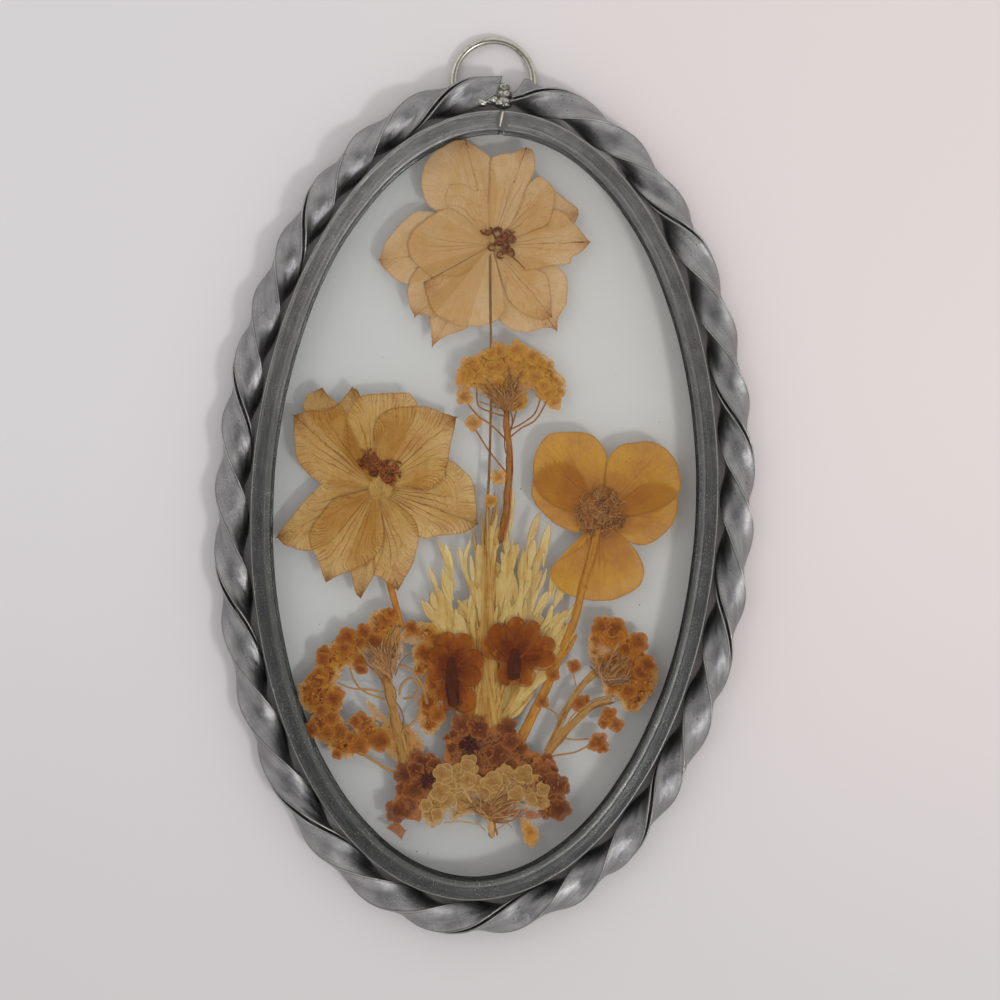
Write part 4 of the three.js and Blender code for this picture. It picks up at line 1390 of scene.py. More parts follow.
LEFT_HEAD = {
    "heaps": [ring_of((x, y), radii, seed) for seed, (x, y, *radii) in enumerate([
        (-16.1, -20.7, 2.8, 2.7), (-19.2, -23.6, 2.8, 2.6), (-21.4, -25, 2.9, 2.8),
        (-24.1, -26.4, 2.8, 2.7), (-25.2, -29.2, 2.6, 2.9), (-26.4, -32.6, 3.2, 3.5),
        (-24.6, -34, 2.6, 2.3), (-24.6, -38, 2.9, 3.1), (-21.4, -40.8, 2.9, 2.3),
        (-17.7, -38.9, 2.6, 2.8), (-15.2, -23.8, 3.1, 3.0), (-20, -27, 1.7, 1.6),
        (-9.8, -21.9, 3.4, 2.1), (-7.4, -35.4, 2.3, 3.1), (-9, -25.5, 2.2, 3.0),
        (-7, -31, 2.1, 2.6),
    ], 1)],
    "core": ([(-18.2, -25.8), (-14.0, -24.6), (-10.8, -23.4)], 1.4),
    "holes": [],
    "florets": [(-19.9, -37.0, 1.2), (-22.6, -42.4, 1.0), (-24.0, -36.4, 1.5), (-20.6, -39.6, 1.2)],
    "fibres": ((-14.6, -29.0), (-16.8, -25.2), (2.2, 1.2), 70),
    "stems": [
        ([(-13.3, -20.5), (-14.4, -24.0), (-15.1, -28.5), (-14.3, -32.4), (-13.4, -35.7),
          (-12.0, -40.6), (-11.1, -44.0)], (0.8, 1.0, 1.3, 1.8, 2.2)),
        ([(-23.2, -30.5), (-20.7, -31.4), (-17.7, -31.5), (-15.0, -31.9)], (0.3, 0.36)),
        ([(-21.3, -27.8), (-20.3, -30.2), (-18.7, -31.8), (-15.0, -33.1)], (0.28, 0.4)),
        ([(-22.9, -37.1), (-20.4, -37.3), (-18.5, -36.9), (-17.1, -36.1)], (0.26, 0.26)),
        ([(-19.2, -41.9), (-16.7, -43.2), (-14.2, -44.6), (-12.7, -45.0)], (0.5, 0.55)),
        ([(-12.8, -32.3), (-12.4, -30.3), (-11.0, -29.3), (-9.7, -30.4), (-10.4, -32.2),
          (-12.3, -32.8)], (0.4, 0.4)),
        ([(-13.2, -27.0), (-10.8, -28.0), (-9.0, -30.6), (-8.0, -33.6)], (0.4, 0.6)),
        ([(-12.6, -38.6), (-9.9, -36.2), (-9.0, -33.2)], (0.5, 0.35)),
    ],
}
RIGHT_HEAD = {
    "heaps": [
        [(18.4, -24.0), (18.1, -21.8), (18.5, -19.8), (19.3, -18.4), (20.2, -17.3), (22.0, -17.4),
         (23.8, -18.0), (24.6, -19.7), (26.6, -20.6), (27.9, -22.2), (28.4, -23.8), (29.8, -25.3),
         (30.4, -26.6), (29.9, -29.3), (28.5, -31.4), (27.3, -32.9), (26.2, -33.5), (24.4, -32.7),
         (23.6, -31.2), (21.6, -31.0), (20.8, -29.3), (21.0, -27.7), (20.1, -26.6), (18.6, -24.9)],
    ],
    "core": ([(21.0, -23.2), (23.6, -25.4)], 1.2),
    "holes": [(23.4, -27.9, 1.15), (24.8, -27.8, 0.9)],
    "florets": [(22.4, -33.8, 1.5), (23.4, -35.4, 1.4), (21.4, -35.2, 1.2), (20.6, -38.2, 1.5),
                (21.5, -39.4, 1.2), (19.8, -39.0, 1.1), (16.0, -25.9, 1.3), (12.7, -27.8, 1.3),
                (11.0, -32.2, 1.2), (17.3, -32.3, 1.5), (18.2, -31.6, 0.9)],
    "fibres": ((21.4, -28.0), (22.2, -25.0), (1.8, 1.5), 46),
    "stems": [
        ([(22.8, -31.3), (19.9, -32.2), (17.3, -34.6), (14.3, -38.0), (12.0, -41.3)],
         (0.5, 1.2, 1.3, 1.4)),
        ([(20.1, -26.6), (18.0, -28.7), (16.3, -31.3), (14.2, -34.9), (12.6, -39.5)],
         (1.4, 0.9, 0.4, 0.3)),
        ([(19.3, -38.0), (16.6, -38.3), (14.8, -38.0)], (0.28, 0.3)),
        ([(19.1, -39.2), (16.7, -40.4), (13.6, -41.1), (12.5, -41.7)], (0.3, 0.34)),
        ([(11.4, -33.0), (13.3, -34.0), (14.0, -35.2), (13.4, -37.4), (13.0, -38.5)], (0.26, 0.3)),
        ([(16.0, -27.0), (16.6, -29.6), (17.2, -31.4)], (0.2, 0.24)),
    ],
}
FRONT_HEAD = {
    "heaps": [
        [(-8.4, -50.9), (-7.5, -48.9), (-6.6, -47.4), (-5.3, -46.6), (-5.4, -45.2), (-3.8, -43.6),
         (-2.0, -42.8), (-0.1, -42.5), (1.0, -43.4), (0.5, -45.2), (-1.1, -46.9), (-2.3, -48.2),
         (-3.2, -49.5), (-4.1, -51.0), (-4.8, -53.0), (-6.2, -54.0), (-7.7, -53.1)],
        [(-1.1, -46.4), (1.5, -45.4), (3.3, -44.8), (3.5, -44.0), (5.3, -42.6), (6.8, -43.4),
         (9.2, -43.2), (10.1, -44.0), (11.6, -44.7), (12.1, -46.6), (13.3, -48.7), (12.2, -50.1),
         (9.8, -49.9), (7.8, -49.7), (5.9, -51.0), (4.2, -51.8), (2.0, -51.7), (0.1, -51.3),
         (-1.6, -51.9), (-3.1, -52.7), (-3.6, -51.2), (-2.5, -49.7)],
    ],
    "core": ([(1.4, -47.6), (5.6, -47.9)], 1.9),
    "holes": [(8.4, -48.7, 0.75), (9.5, -48.8, 0.6), (-2.9, -50.3, 0.7)],
    "florets": [],
    "fibres": ((3.4, -51.6), (3.6, -49.0), (2.6, 1.3), 44),
    "stems": [
        ([(3.2, -50.4), (3.5, -53.3), (3.7, -55.2)], (1.5, 1.3, 0.7)),
        ([(-4.5, -53.0), (-1.6, -52.7), (0.9, -53.0), (2.6, -53.9)], (0.24, 0.28)),
        ([(4.0, -51.4), (5.7, -52.3), (7.0, -53.4)], (0.26, 0.2)),
        ([(4.1, -54.0), (5.0, -53.3), (6.0, -52.7)], (0.26, 0.2)),
        ([(3.6, -52.4), (6.4, -49.6), (8.2, -47.4)], (0.6, 0.4)),
        ([(3.1, -52.4), (0.4, -49.8), (-1.4, -47.2)], (0.6, 0.4)),
    ],
}
LEFT_TISSUE = [
    (-16.0, -38.8), (-14.6, -36.3), (-12.1, -36.7), (-9.6, -38.0), (-8.1, -40.4), (-9.4, -43.4),
    (-11.1, -44.0), (-13.1, -43.1), (-15.4, -41.2),
]
LEFT_LEAF = [
    (-18.4, -33.5), (-17.2, -33.7), (-14.9, -35.8), (-13.8, -36.7), (-15.6, -36.8), (-17.1, -35.9),
]


class FLOWERFRAME_OT_alyssum(bpy.types.Operator):
    """Presses the four alyssum heads"""

    bl_idname = "flowerframe.alyssum"
    bl_label = "Alyssum heads"
    floret_radii = (1.1, 2.0)
    stout = 0.9  # a stem wider than this has strands along it
    strands = 6  # for each millimetre of its width
    amber = linear(196, 138, 50)
    fleck = linear(206, 156, 88)
    heads = [  # the name, the shape, the finishes, the slot, the layer, and florets to a heap
        ("top", TOP_HEAD, "golden", "alyssum_floret", 2.2, 18),
        ("left", LEFT_HEAD, "orange", "alyssum_floret", 2.2, 2),
        ("right", RIGHT_HEAD, "orange", "alyssum_floret", 2.2, 16),
        ("front", FRONT_HEAD, "tan", "tan_floret", 6.0, 15),
    ]

    def execute(self, context):
        finishes = self.finishes(context.scene.flower_colours)
        thread = stem_finish("pale fibre", *lights((198, 156, 108), (144, 96, 58)), 0.3)
        for name, shape, kind, slot, layer, strewn in self.heads:
            seed = 500 + len(name)
            heaped, flower, straw = finishes[kind]
            heaps, florets = self.flowers(shape, layer, strewn, seed)
            stems = self.stems(shape["stems"], layer, seed)
            hairs = Surface()
            root, centre, spread, count = shape["fibres"]
            fibres(hairs, root, centre, spread, count, level(layer + 1.4), seed)
            heaps.build(f"alyssum_{name}_heap", heaped, slot, f"alyssum_{name}")
            florets.build(f"alyssum_{name}_florets", flower, slot)
            stems.build(f"alyssum_{name}_stems", straw, "dry_stem")
            hairs.build(f"alyssum_{name}_fibres", thread, "dry_stem")
        self.lay_leaves()
        return {"FINISHED"}

    def finishes(self, colours):
        """The finishes of the heap, the florets and the stems of each kind of head."""
        amber, fleck = self.amber, self.fleck
        golden = [amber, *lights((168, 116, 54), (100, 58, 28)), fleck, linear(166, 124, 88)]
        orange = [amber, *lights((134, 72, 28), (82, 38, 18)), fleck, linear(184, 144, 108)]
        tan = lights((146, 104, 58), (88, 52, 28), (196, 160, 106), (140, 114, 94))
        return {
            "golden": (
                heap_finish("golden heap", golden, clear=0.35, edge=1.1),
                floret_finish("golden floret", colours.alyssum,
                              *lights((144, 92, 44), (212, 168, 84)),
                              clear=0.2, reach=0.8, rimmed=0.15),
                stem_finish("brown stem", *lights((166, 112, 60), (116, 68, 34)), 0.1),
            ),
            "orange": (
                heap_finish("orange heap", orange, clear=0.4, edge=1.2, specks=1.0),
                floret_finish("rusty floret", linear(176, 112, 44), colours.alyssum_core,
                              linear(200, 146, 62), clear=0.15, reach=1.1, rimmed=0.15),
                stem_finish("straw stem", *lights((184, 140, 84), (140, 92, 46)), 0.3),
            ),
            "tan": (
                heap_finish("tan heap", [colours.tan, *tan], edge=1.0, core=0.8, specks=0.8),
                floret_finish("tan floret", colours.tan,
                              *lights((134, 92, 50), (206, 170, 112)), clear=0.4, reach=0.6),
                stem_finish("tan stem", *lights((200, 162, 110), (148, 104, 62)), 0.2),
            ),
        }

    def flowers(self, shape, layer, strewn, seed):
        """The heaps of one head, and the florets that stand free or are strewn over them."""
        heaps, florets = Surface(), Surface()
        for number, outline in enumerate(shape["heaps"]):
            lift = level(layer + 0.2 * (number % 3))
            heap(heaps, outline, lift, seed + number, tone=0.06 * (number % 4),
                 core=shape["core"], holes=shape["holes"])
        for number, (x, y, radius) in enumerate(shape["florets"]):
            floret(florets, (x, y), radius, level(layer + 1), seed + number)
        for number, outline in enumerate(shape["heaps"]):
            scattered(florets, outline, strewn, self.floret_radii,
                      (level(layer + 0.6), level(layer + 1.6)), seed + 90 * number)
        return heaps, florets

    def stems(self, stems, layer, seed):
        """The stems of one head, with loose strands along the stout ones."""
        surface = Surface()
        random = np.random.default_rng(seed)
        for path, widths in stems:
            stalk(surface, path, widths, level(layer), 0.8, 36, 10, 0.1)
            widest = max(widths)
            for _ in range(round(self.strands * widest) if widest > self.stout else 0):
                strand = np.array(path) + random.normal(0, 0.28, (len(path), 2)) * widest
                stalk(surface, strand, (0.2, 0.34), level(layer + 0.5), 1, 30, 5,
                      random.uniform(-0.4, 0.9))
        return surface

    def lay_leaves(self):
        """The leafy tissue beside the left head's stem."""
        surface = Surface()
        heap(surface, LEFT_TISSUE, level(1.6), 71, 1.2, 0.25)
        heap(surface, LEFT_LEAF, level(1.9), 72, 3.0, 0.1)
        leafy = heap_finish(
            "leafy tissue",
            [*lights((182, 136, 78), (164, 114, 60), (120, 70, 34)), self.fleck, self.amber],
            clear=0.4, edge=1.4, core=0.0,
        )
        surface.build("alyssum_left_leaves", leafy, "alyssum_floret")


# The fan of the spray, from its right side over its top to its left side.
FAN = [
    (7.4, -34.1), (9.0, -30.7), (11.3, -27.3), (13.6, -23.5), (16.0, -19.2), (16.8, -15.0),
    (15.6, -10.9), (13.3, -8.2), (11.5, -4.7), (10.7, -1.8), (9.1, -1.0), (7.1, -3.4),
    (5.1, -3.5), (4.2, 1.8), (2.1, 3.5), (0.9, 1.0), (0.1, -4.1), (-1.4, -7.2), (-3.5, -5.6),
    (-5.6, -7.0), (-7.0, -9.9), (-8.9, -11.8), (-9.3, -14.8), (-8.6, -19.5), (-7.3, -26.1),
    (-6.0, -31.0), (-3.9, -34.6),
]


class FLOWERFRAME_OT_spray(bpy.types.Operator):
    """Presses the fan of cream buds and its bundle of stalks"""

    bl_idname = "flowerframe.spray"
    bl_label = "Cream spray"
    root = (1.7, -39.0)
    sheer_part = 0.7  # how far up the fan its sheer ground goes
    buds = 270
    stalks = 70
    short_stalks = 34

    def execute(self, context):
        random = np.random.default_rng(77)
        self.lay_ground()
        self.lay_buds(context.scene.flower_colours.cream, random)
        self.lay_stalks(random)
        return {"FINISHED"}

    def lay_ground(self):
        """The sheer ground of the fan, which the buds lie on."""
        fan = Surface()
        low = self.root + self.sheer_part * (np.array(FAN) - self.root)
        petal(fan, self.root, low, level(-0.2), tone=0.1, seed=70, bend=0.0, rows=60, columns=260)
        sheer = petal_finish(
            "sheer buds", lights((214, 178, 100), (200, 158, 78), (190, 150, 80), (160, 122, 64)),
            clear=0.5, veins=0, ribs=0.0,
        )
        fan.build("cream_spray_fan", sheer, "cream_bud")

    def lay_buds(self, cream, random):
        """Buds that point away from the root, closest together towards the edge of the fan."""
        surface = Surface()
        root = np.array(self.root)
        edge = through(FAN, 400) - root
        for tip in edge[random.integers(20, 380, self.buds)]:
            far = random.uniform(0.3, 1.03) ** 0.6
            near = far - random.uniform(4, 7.5) / np.linalg.norm(tip)
            start = root + tip * near
            lean = random.normal(0, 0.9, 2)
            end = root + tip * far + lean
            bend = (start + end) / 2 + random.normal(0, 0.3, 2)
            width = random.uniform(0.6, 1.7)
            stalk(
                surface, [start, bend, end], (width, width),
                level(random.uniform(0, 1.4)), 0.5, 18, 8, random.uniform(-0.2, 0.5),
                lambda t: 0.2 + 0.8 * np.sin(np.pi * t**1.5) ** 1.1,
            )
        material = stem_finish("cream buds", cream, linear(202, 160, 88), 0.75, 0.25)
        surface.build("cream_spray_buds", material, "cream_bud", "cream_spray")

    def lay_stalks(self, random):
        """The bundle of long stalks, and the short ones that spread from its foot."""
        surface = Surface()
        for _ in range(self.stalks):
            start = np.array([random.normal(2.4, 1.3), random.uniform(-42, -37)])
            top = np.array([random.normal(1.2, 1.2), random.uniform(-24, 3)])
            middle = (start * 0.35 + top * 0.65) * [0.6, 1] + [0.5, 0]
            width = random.uniform(0.35, 1.0)
            stalk(
                surface, [start, middle, top], (width, width, 0.3),
                level(random.uniform(-0.1, 1.4)), 0.7, 26, 6, random.uniform(0, 0.6),
            )
        for _ in range(self.short_stalks):
            start = np.array([random.normal(2.6, 1.2), random.uniform(-41, -37)])
            top = np.array([random.uniform(-6.0, 10.0), random.uniform(-31, -24)])
            width = random.uniform(0.4, 0.9)
            bend = (start + top) / 2 + random.normal(0, 0.6, 2)
            stalk(
                surface, [start, bend, top], (width, 0.3), level(random.uniform(0, 1.5)),
                0.7, 20, 6, random.uniform(0, 0.5),
            )
        fibre = stem_finish("spray stalks", *lights((206, 168, 98), (160, 106, 48)), 0.4, 0.3)
        surface.build("cream_spray_stalks", fibre, "dry_stem")


# Each brown floret: its outline, its dark strip and the tips of its lobes.
BROWN_LEFT = (
    [(-6.2, -23.5), (-6.3, -22.2), (-5.6, -21.4), (-4.8, -21.3), (-3.7, -22.8), (-3.1, -21.7),
     (-2.1, -21.5), (-1.1, -22.2), (-0.9, -23.5), (-0.2, -23.8), (0.9, -25.1), (1.1, -26.4),
     (0.9, -28.6), (-0.1, -30.0), (-1.4, -29.7), (-1.4, -30.8), (-0.5, -31.5), (-0.2, -34.3),
     (-1.4, -35.0), (-3.1, -34.4), (-4.2, -34.0), (-4.9, -35.0), (-5.6, -32.7), (-6.4, -30.7),
     (-7.5, -29.4), (-8.2, -28.5), (-8.3, -26.5), (-8.0, -24.6), (-7.0, -23.8)],
    [(-4.4, -25.4), (-4.2, -27.4), (-4.0, -30.4), (-3.5, -33.8)],
    [(-5.5, -21.3), (-2.3, -21.4), (0.9, -25.0), (0.6, -28.9), (-0.8, -34.3), (-4.6, -34.4),
     (-8.1, -27.8), (-7.6, -24.0)],
)
BROWN_RIGHT = (
    [(4.9, -21.2), (4.5, -20.1), (5.1, -18.7), (6.2, -18.2), (7.2, -18.6), (7.6, -19.8),
     (8.4, -18.9), (9.4, -18.9), (10.1, -19.8), (10.1, -22.0), (10.9, -21.5), (12.1, -21.6),
     (12.8, -22.2), (12.3, -23.6), (13.0, -24.4), (12.9, -25.4), (11.8, -26.3), (10.6, -26.5),
     (9.8, -26.2), (9.0, -27.2), (9.2, -28.5), (9.1, -29.7), (7.4, -29.3), (6.0, -28.8),
     (5.2, -29.9), (3.9, -29.3), (3.2, -27.8), (3.8, -26.4), (2.7, -25.3), (1.3, -24.2),
     (0.4, -23.3), (0.6, -22.1), (1.4, -21.7), (1.9, -22.5), (1.7, -20.7), (2.3, -19.7),
     (3.3, -19.5), (4.1, -20.1)],
    [(6.2, -23.6), (6.2, -25.5), (6.1, -27.5), (6.3, -28.8)],
    [(6.1, -18.3), (9.3, -18.9), (12.6, -22.1), (12.8, -25.2), (8.9, -29.4), (5.0, -29.6),
     (0.6, -22.9), (2.6, -19.7)],
)
MIDDLE_CLUSTER = [
    (-5.0, -42.5), (-4.7, -40.2), (-4.2, -38.3), (-2.8, -37.1), (-0.9, -36.2), (1.1, -36.4),
    (2.1, -37.0), (3.8, -36.6), (5.6, -36.2), (6.8, -37.5), (8.3, -38.0), (9.0, -39.9),
    (10.7, -40.8), (12.4, -41.9), (12.0, -45.1), (9.8, -43.8), (6.8, -43.2), (4.9, -43.7),
    (2.5, -45.1), (0.5, -45.4), (-2.0, -43.8), (-4.5, -43.4),
]
LEFT_CLUSTER = [
    (-11.1, -43.5), (-9.4, -42.3), (-7.5, -41.8), (-6.4, -42.8), (-5.5, -44.9), (-5.3, -46.6),
    (-6.7, -48.7), (-8.3, -50.4), (-8.2, -52.9), (-10.2, -52.8), (-11.6, -52.3), (-13.2, -51.4),
    (-13.2, -49.9), (-12.4, -48.4), (-12.3, -46.7), (-11.6, -45.2),
]
RIGHT_CLUSTER = [
    (10.6, -41.0), (12.6, -41.7), (14.0, -42.6), (14.2, -44.8), (15.2, -45.7), (14.8, -47.9),
    (15.6, -49.4), (14.5, -50.9), (12.5, -50.7), (12.2, -49.0), (12.6, -47.1), (11.0, -44.7),
    (9.5, -43.0),
]


def lobe(hub, tip, width):
    """The outline of a rounded lobe from the hub to its tip, as wide as given past its middle."""
    hub, tip = np.array(hub), np.array(tip)
    axis = tip - hub
    side = np.array([axis[1], -axis[0]]) / np.linalg.norm(axis)
    part = np.array([[0.15], [0.45], [0.75], [0.95]])
    half = width / 2 * np.array([[0.5], [0.85], [1.0], [0.6]])
    return [*(hub + part * axis + half * side), tip, *(hub + part * axis - half * side)[::-1]]


class FLOWERFRAME_OT_brown_flowers(bpy.types.Operator):
    """Presses the two brown florets and the crinkled clusters at the base"""

    bl_idname = "flowerframe.brown_flowers"
    bl_label = "Brown flowers"
    lobe_width = 3.6
    lashes = 34
    clusters = [  # the name, the outline, the core, the count of ruffles and the layer
        ("middle", MIDDLE_CLUSTER, ([(-0.8, -40.2), (-0.2, -40.0)], 1.3), 22, 4),
        ("left", LEFT_CLUSTER, ([(-7.8, -46.2), (-7.2, -45.8)], 1.3), 12, 5),
        ("right", RIGHT_CLUSTER, ([(8.6, -42.6), (9.4, -43.4)], 1.0), 10, 5),
    ]
    loose = [(8.2, -51.4), (9.9, -52.0), (11.4, -53.5), (11.7, -55.4), (10.5, -56.7),
             (9.1, -55.8), (8.5, -53.9)]
    fragment = [(-14.0, -54.4), (-12.3, -53.1), (-10.7, -54.7), (-11.3, -56.2), (-12.6, -55.2)]
    scraps = [
        [(6.6, -51.5), (7.0, -50.4), (9.4, -50.0), (7.9, -51.1)],
        [(9.1, -50.6), (10.3, -50.3), (11.6, -51.3), (9.6, -51.7)],
    ]

    def execute(self, context):
        dark = context.scene.flower_colours.dark
        smooth = heap_finish(
            "brown petal",
            [*lights((158, 90, 32), (120, 60, 22), (78, 36, 16), (152, 88, 38)), dark],
            clear=0.2, edge=2.0, core=1.1, specks=0.5,
        )
        self.lay_florets(smooth)
        self.lay_clusters()
        self.lay_lashes(dark)
        self.lay_loose_pieces(smooth)
        return {"FINISHED"}

    def lay_florets(self, smooth):
        """The two brown florets: a flat base, lobes over it and a dark strip down the middle."""
        lobed = petal_finish(
            "brown lobe", lights((176, 98, 34), (118, 54, 24), (100, 48, 24), (74, 34, 22)),
            clear=0.5, veins=1.5, ribs=0.2, heart=0.9,
        )
        strip_finish = stem_finish("dark strip", *lights((96, 50, 28), (56, 30, 26)), 0.45)
        for side, (outline, strip, tips), layer in (
            ("left", BROWN_LEFT, 5), ("right", BROWN_RIGHT, 6),
        ):
            base = Surface()
            heap(base, outline, level(layer), 11, 9.0, 0.0, core=(strip, 1.9))
            base.build(f"brown_floret_{side}_petals", smooth, "brown_petal", f"brown_floret_{side}")
            lobes = Surface()
            for number, tip in enumerate(tips):
                lift = level(layer + 0.3 * (1 + number % 2))
                shape = lobe(strip[1], tip, self.lobe_width)
                petal(lobes, strip[1], shape, lift, tone=0.08 * number % 0.3,
                      seed=number, rows=16, columns=60)
            lobes.build(f"brown_floret_{side}_lobes", lobed, "brown_petal")
            middle = Surface()
            stalk(middle, strip, (1.2, 2.2, 1.8), level(layer + 0.9), 0.3, 20, 12, 0.3)
            middle.build(f"brown_floret_{side}_middle", strip_finish, "brown_petal")

    def lay_clusters(self):
        """The crinkled clusters at the base, each a heap with ruffles strewn over it."""
        crinkled = heap_finish(
            "crinkled petal",
            lights((158, 96, 48), (116, 70, 44), (60, 34, 24), (168, 118, 76), (52, 36, 36)),
            clear=0.08, edge=1.5, core=0.9, specks=0.9,
        )
        ruffle = floret_finish(
            "ruffle", *lights((140, 84, 44), (84, 44, 28), (158, 98, 52)), clear=0.2, reach=1.15
        )
        for name, outline, core, count, layer in self.clusters:
            base = Surface()
            heap(base, outline, level(layer), 600 + count, core=core)
            base.build(f"crinkled_{name}", crinkled, "brown_petal", f"brown_cluster_{name}")
            ruffles = Surface()
            scattered(ruffles, outline, count, (0.9, 2.3), (level(layer + 0.3), level(layer + 1)),
                      610 + count, 5)
            ruffles.build(f"crinkled_{name}_ruffles", ruffle, "brown_petal")

    def lay_lashes(self, dark):
        """Dark threads that point outwards from the middles of two clusters."""
        eyes = Surface()
        for centre, seed in (((-0.6, -40.1), 1), ((-7.5, -46.0), 3)):
            random = np.random.default_rng(seed)
            for angle in random.uniform(0, 2 * np.pi, self.lashes):
                aim = np.array([np.cos(angle), np.sin(angle)]) * random.uniform(0.9, 2.1)
                path = [centre, centre + aim * 0.5, centre + aim]
                stalk(eyes, path, (0.36, 0.12), level(6), 1, 6, 5, random.uniform(0.2, 0.8))
        eyes.build("crinkled_eyes", stem_finish("dark middle", linear(92, 50, 36), dark), "brown_petal")

    def lay_loose_pieces(self, smooth):
        """The loose floret, the fragment of petal and the two scraps by the tan head."""
        loose = Surface()
        heap(loose, self.loose, level(0), 5, 1.4, 0.25, core=([(10.0, -53.9)], 0.8))
        amber = heap_finish(
            "loose floret",
            lights((202, 150, 76), (190, 132, 58), (140, 84, 30), (214, 170, 100), (150, 88, 28)),
            clear=0.5, edge=0.8, core=0.8, specks=0.3,
        )
        loose.build("loose_floret_petals", amber, "tan_floret", "loose_floret")
        scrap = Surface()
        sharp = [corner for corner in self.fragment for _ in range(2)]
        heap(scrap, sharp, level(0), 3, 9.0, 0.0)
        for seed, outline in enumerate(self.scraps, 4):
            heap(scrap, outline, level(7.4), seed, 9.0, 0.0)
        scrap.build("petal_scraps", smooth, "brown_petal", "petal_fragment")


# Grains of dust between the panes: x, y and radius.
DUST = [
    (26.5, -15.4, 0.16), (28.5, 15.1, 0.14), (25.1, -18.4, 0.12), (27.6, -26.0, 0.16),
    (29.0, -31.0, 0.12), (-28.9, -46.0, 0.14), (-18.0, 24.0, 0.12), (8.8, 30.6, 0.14),
    (-8.7, -58.1, 0.15), (-6.9, -58.3, 0.13), (14.0, -57.0, 0.12), (20.9, 22.6, 0.13),
    (-26.6, -21.0, 0.12), (22.0, -46.0, 0.12), (5.9, 3.0, 0.14),
]


class FLOWERFRAME_OT_dust(bpy.types.Operator):
    """Strews the grains of dust that were caught between the panes"""

    bl_idname = "flowerframe.dust"
    bl_label = "Dust"

    def execute(self, context):
        surface = Surface()
        for seed, (x, y, radius) in enumerate(DUST):
            surface.add(*ball((x, y, level(1)), radius, seed, 0.4, 6, 8), closed=True, solid=True)
        grain = stem_finish("dust grain", *lights((90, 74, 58), (50, 40, 34)))
        surface.build("dust_grains", grain, "dry_stem")
        return {"FINISHED"}


# -------- stage


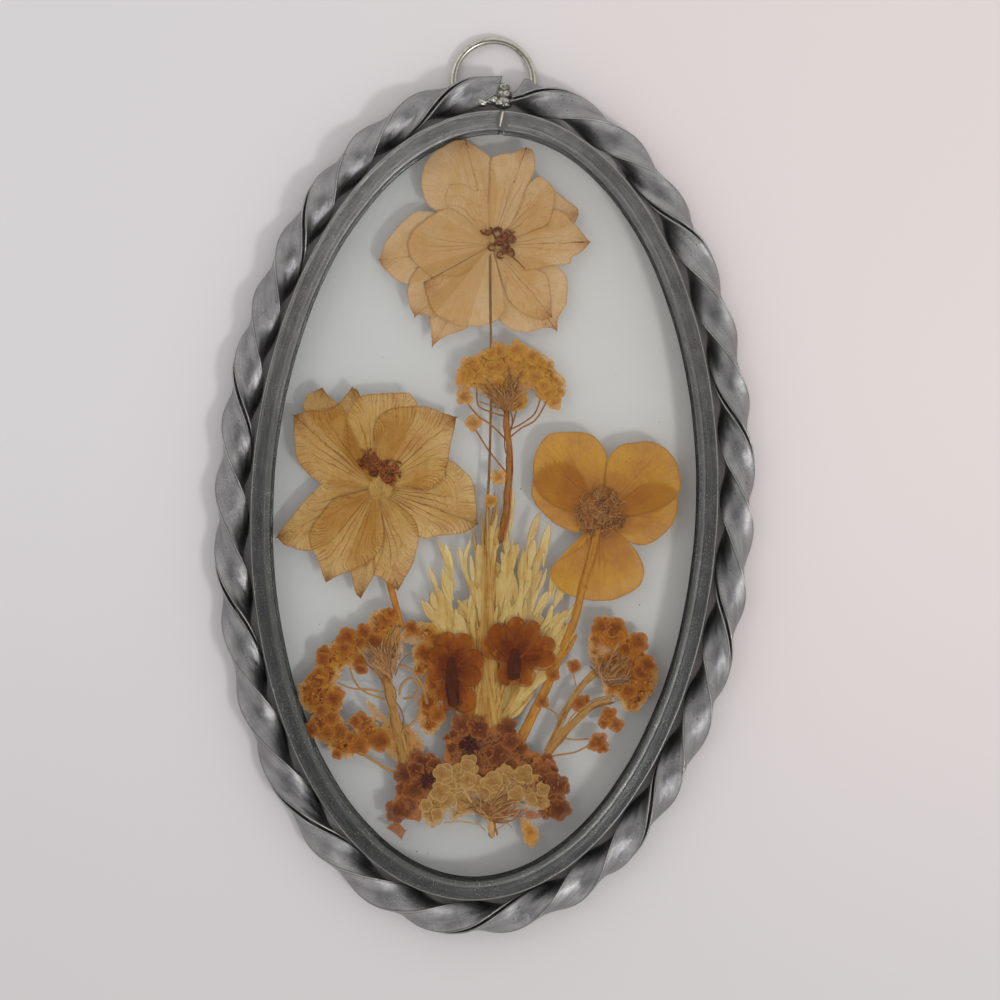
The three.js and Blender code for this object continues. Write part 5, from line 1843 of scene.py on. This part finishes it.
class FLOWERFRAME_OT_stage(bpy.types.Operator):
    """Lays the floor and sets the lights and the camera"""

    bl_idname = "flowerframe.stage"
    bl_label = "Stage"
    floor_size = 3.0
    aim = (2.54, 1.03)
    key_azimuth = -40.0
    key_elevation = 50.0
    key_distance = 0.8
    key_size = 0.14
    glint_size = 0.05
    glint_share = 0.1
    window_size = 0.3
    window_share = 0.16

    def execute(self, context):
        stage = context.scene.flower_stage
        half = self.floor_size / 2
        corners = [(-half, -half, 0), (half, -half, 0), (half, half, 0), (-half, half, 0)]
        mesh = bpy.data.meshes.new("floor")
        mesh.from_pydata(corners, [], [(0, 1, 2, 3)])
        finish = Finish("pale floor")
        place = finish.place()
        cloud = finish.noise(place, 9, 3, 0.5)
        across, up, _ = finish.axes(place)
        # painted light: the floor is lighter and warmer to the right, towards the key light
        pale = finish.mix(
            linear(207, 206, 210), linear(218, 209, 207), across.rise(-0.08, 0.08) * 0.8 + cloud * 0.2
        )
        mesh.materials.append(finish.done(finish.shade({
            # painted shade: the floor is darker towards the bottom of the view
            "Base Color": finish.mix(linear(196, 192, 194), pale, up.rise(-0.11, 0.03)),
            "Roughness": 0.6,
            "Specular IOR Level": 0.2,
        })))
        floor = bpy.data.objects.new("floor", mesh)
        context.scene.collection.objects.link(floor)
        self.light(context, "key", self.key_size, stage.key)
        self.light(context, "glint", self.glint_size, stage.key * self.glint_share)
        self.light(context, "window", self.window_size, stage.key * self.window_share, 180)
        self.sky(context, stage)
        self.camera(context, stage)
        context.scene.view_settings.view_transform = "Standard"
        context.scene.cycles.transparent_max_bounces = 32
        return {"FINISHED"}

    def light(self, context, name, size, power, turn=0):
        """A disc of light that looks at the frame from low on the right, or turned from there."""
        azimuth, elevation = np.radians([self.key_azimuth + turn, self.key_elevation])
        away = Vector((
            np.cos(azimuth) * np.cos(elevation),
            np.sin(azimuth) * np.cos(elevation),
            np.sin(elevation),
        ))
        lamp = bpy.data.lights.new(name, "AREA")
        lamp.shape = "DISK"
        lamp.size = size
        lamp.energy = power
        light = bpy.data.objects.new(name, lamp)
        light.location = away * self.key_distance
        light.rotation_euler = away.to_track_quat("Z", "Y").to_euler()
        context.scene.collection.objects.link(light)

    def sky(self, context, stage):
        """Light from all round, dimmer overhead, as in a room looked at from its middle."""
        world = bpy.data.worlds.new("room")
        context.scene.world = world
        finish = Finish("room", world)
        _, top, height = finish.axes(finish.node("ShaderNodeTexCoord"))
        lit = finish.node("ShaderNodeLightPath", out=2)
        dark = height.rise(0.6, 0.95) * (1 - lit * 0.85) * (1 - top.rise(0.06, 0.35) * 0.6)
        colour = finish.mix((0.97, 0.955, 0.94), (0.035, 0.035, 0.04), dark)
        shine = finish.node("ShaderNodeBackground", {}, {"Color": colour, "Strength": stage.ambient})
        finish.done(shine, "ShaderNodeOutputWorld")

    def camera(self, context, stage):
        """A camera straight above the frame, a little turned."""
        data = bpy.data.cameras.new("camera")
        data.sensor_width = 36
        data.lens = data.sensor_width * stage.distance / stage.view_width
        camera = bpy.data.objects.new("camera", data)
        camera.location = (
            CENTRE.x + self.aim[0] * MM, CENTRE.y + self.aim[1] * MM, stage.distance + CAME_HIGH.z / 2
        )
        camera.rotation_euler = (0, 0, stage.roll)
        context.scene.collection.objects.link(camera)
        context.scene.camera = camera


# -------- add-on


PIECES = (
    FLOWERFRAME_OT_glass,
    FLOWERFRAME_OT_came,
    FLOWERFRAME_OT_rope,
    FLOWERFRAME_OT_solder,
    FLOWERFRAME_OT_ring,
    FLOWERFRAME_OT_top_larkspur,
    FLOWERFRAME_OT_left_larkspur,
    FLOWERFRAME_OT_buttercup,
    FLOWERFRAME_OT_alyssum,
    FLOWERFRAME_OT_spray,
    FLOWERFRAME_OT_brown_flowers,
    FLOWERFRAME_OT_dust,
    FLOWERFRAME_OT_stage,
)


class FLOWERFRAME_PT_panel(bpy.types.Panel):
    """Lists the pieces of the flower frame"""

    bl_label = "Flower frame"
    bl_space_type = "VIEW_3D"
    bl_region_type = "UI"
    bl_category = "Flower frame"

    def draw(self, context):
        for piece in PIECES:
            self.layout.operator(piece.bl_idname)


SETTINGS = {
    "flower_frame": FrameSettings,
    "flower_colours": FlowerSettings,
    "flower_stage": StageSettings,
}


def register():
    for kind in (*SETTINGS.values(), *PIECES, FLOWERFRAME_PT_panel):
        bpy.utils.register_class(kind)
    for name, kind in SETTINGS.items():
        setattr(bpy.types.Scene, name, PointerProperty(type=kind))


def unregister():
    for name in SETTINGS:
        delattr(bpy.types.Scene, name)
    for kind in (FLOWERFRAME_PT_panel, *reversed(PIECES), *SETTINGS.values()):
        bpy.utils.unregister_class(kind)


def main():
    """Makes every piece and the stage."""
    register()
    for piece in PIECES:
        group, name = piece.bl_idname.split(".")
        getattr(getattr(bpy.ops, group), name)()
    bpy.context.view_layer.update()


if __name__ == "__main__":
    main()
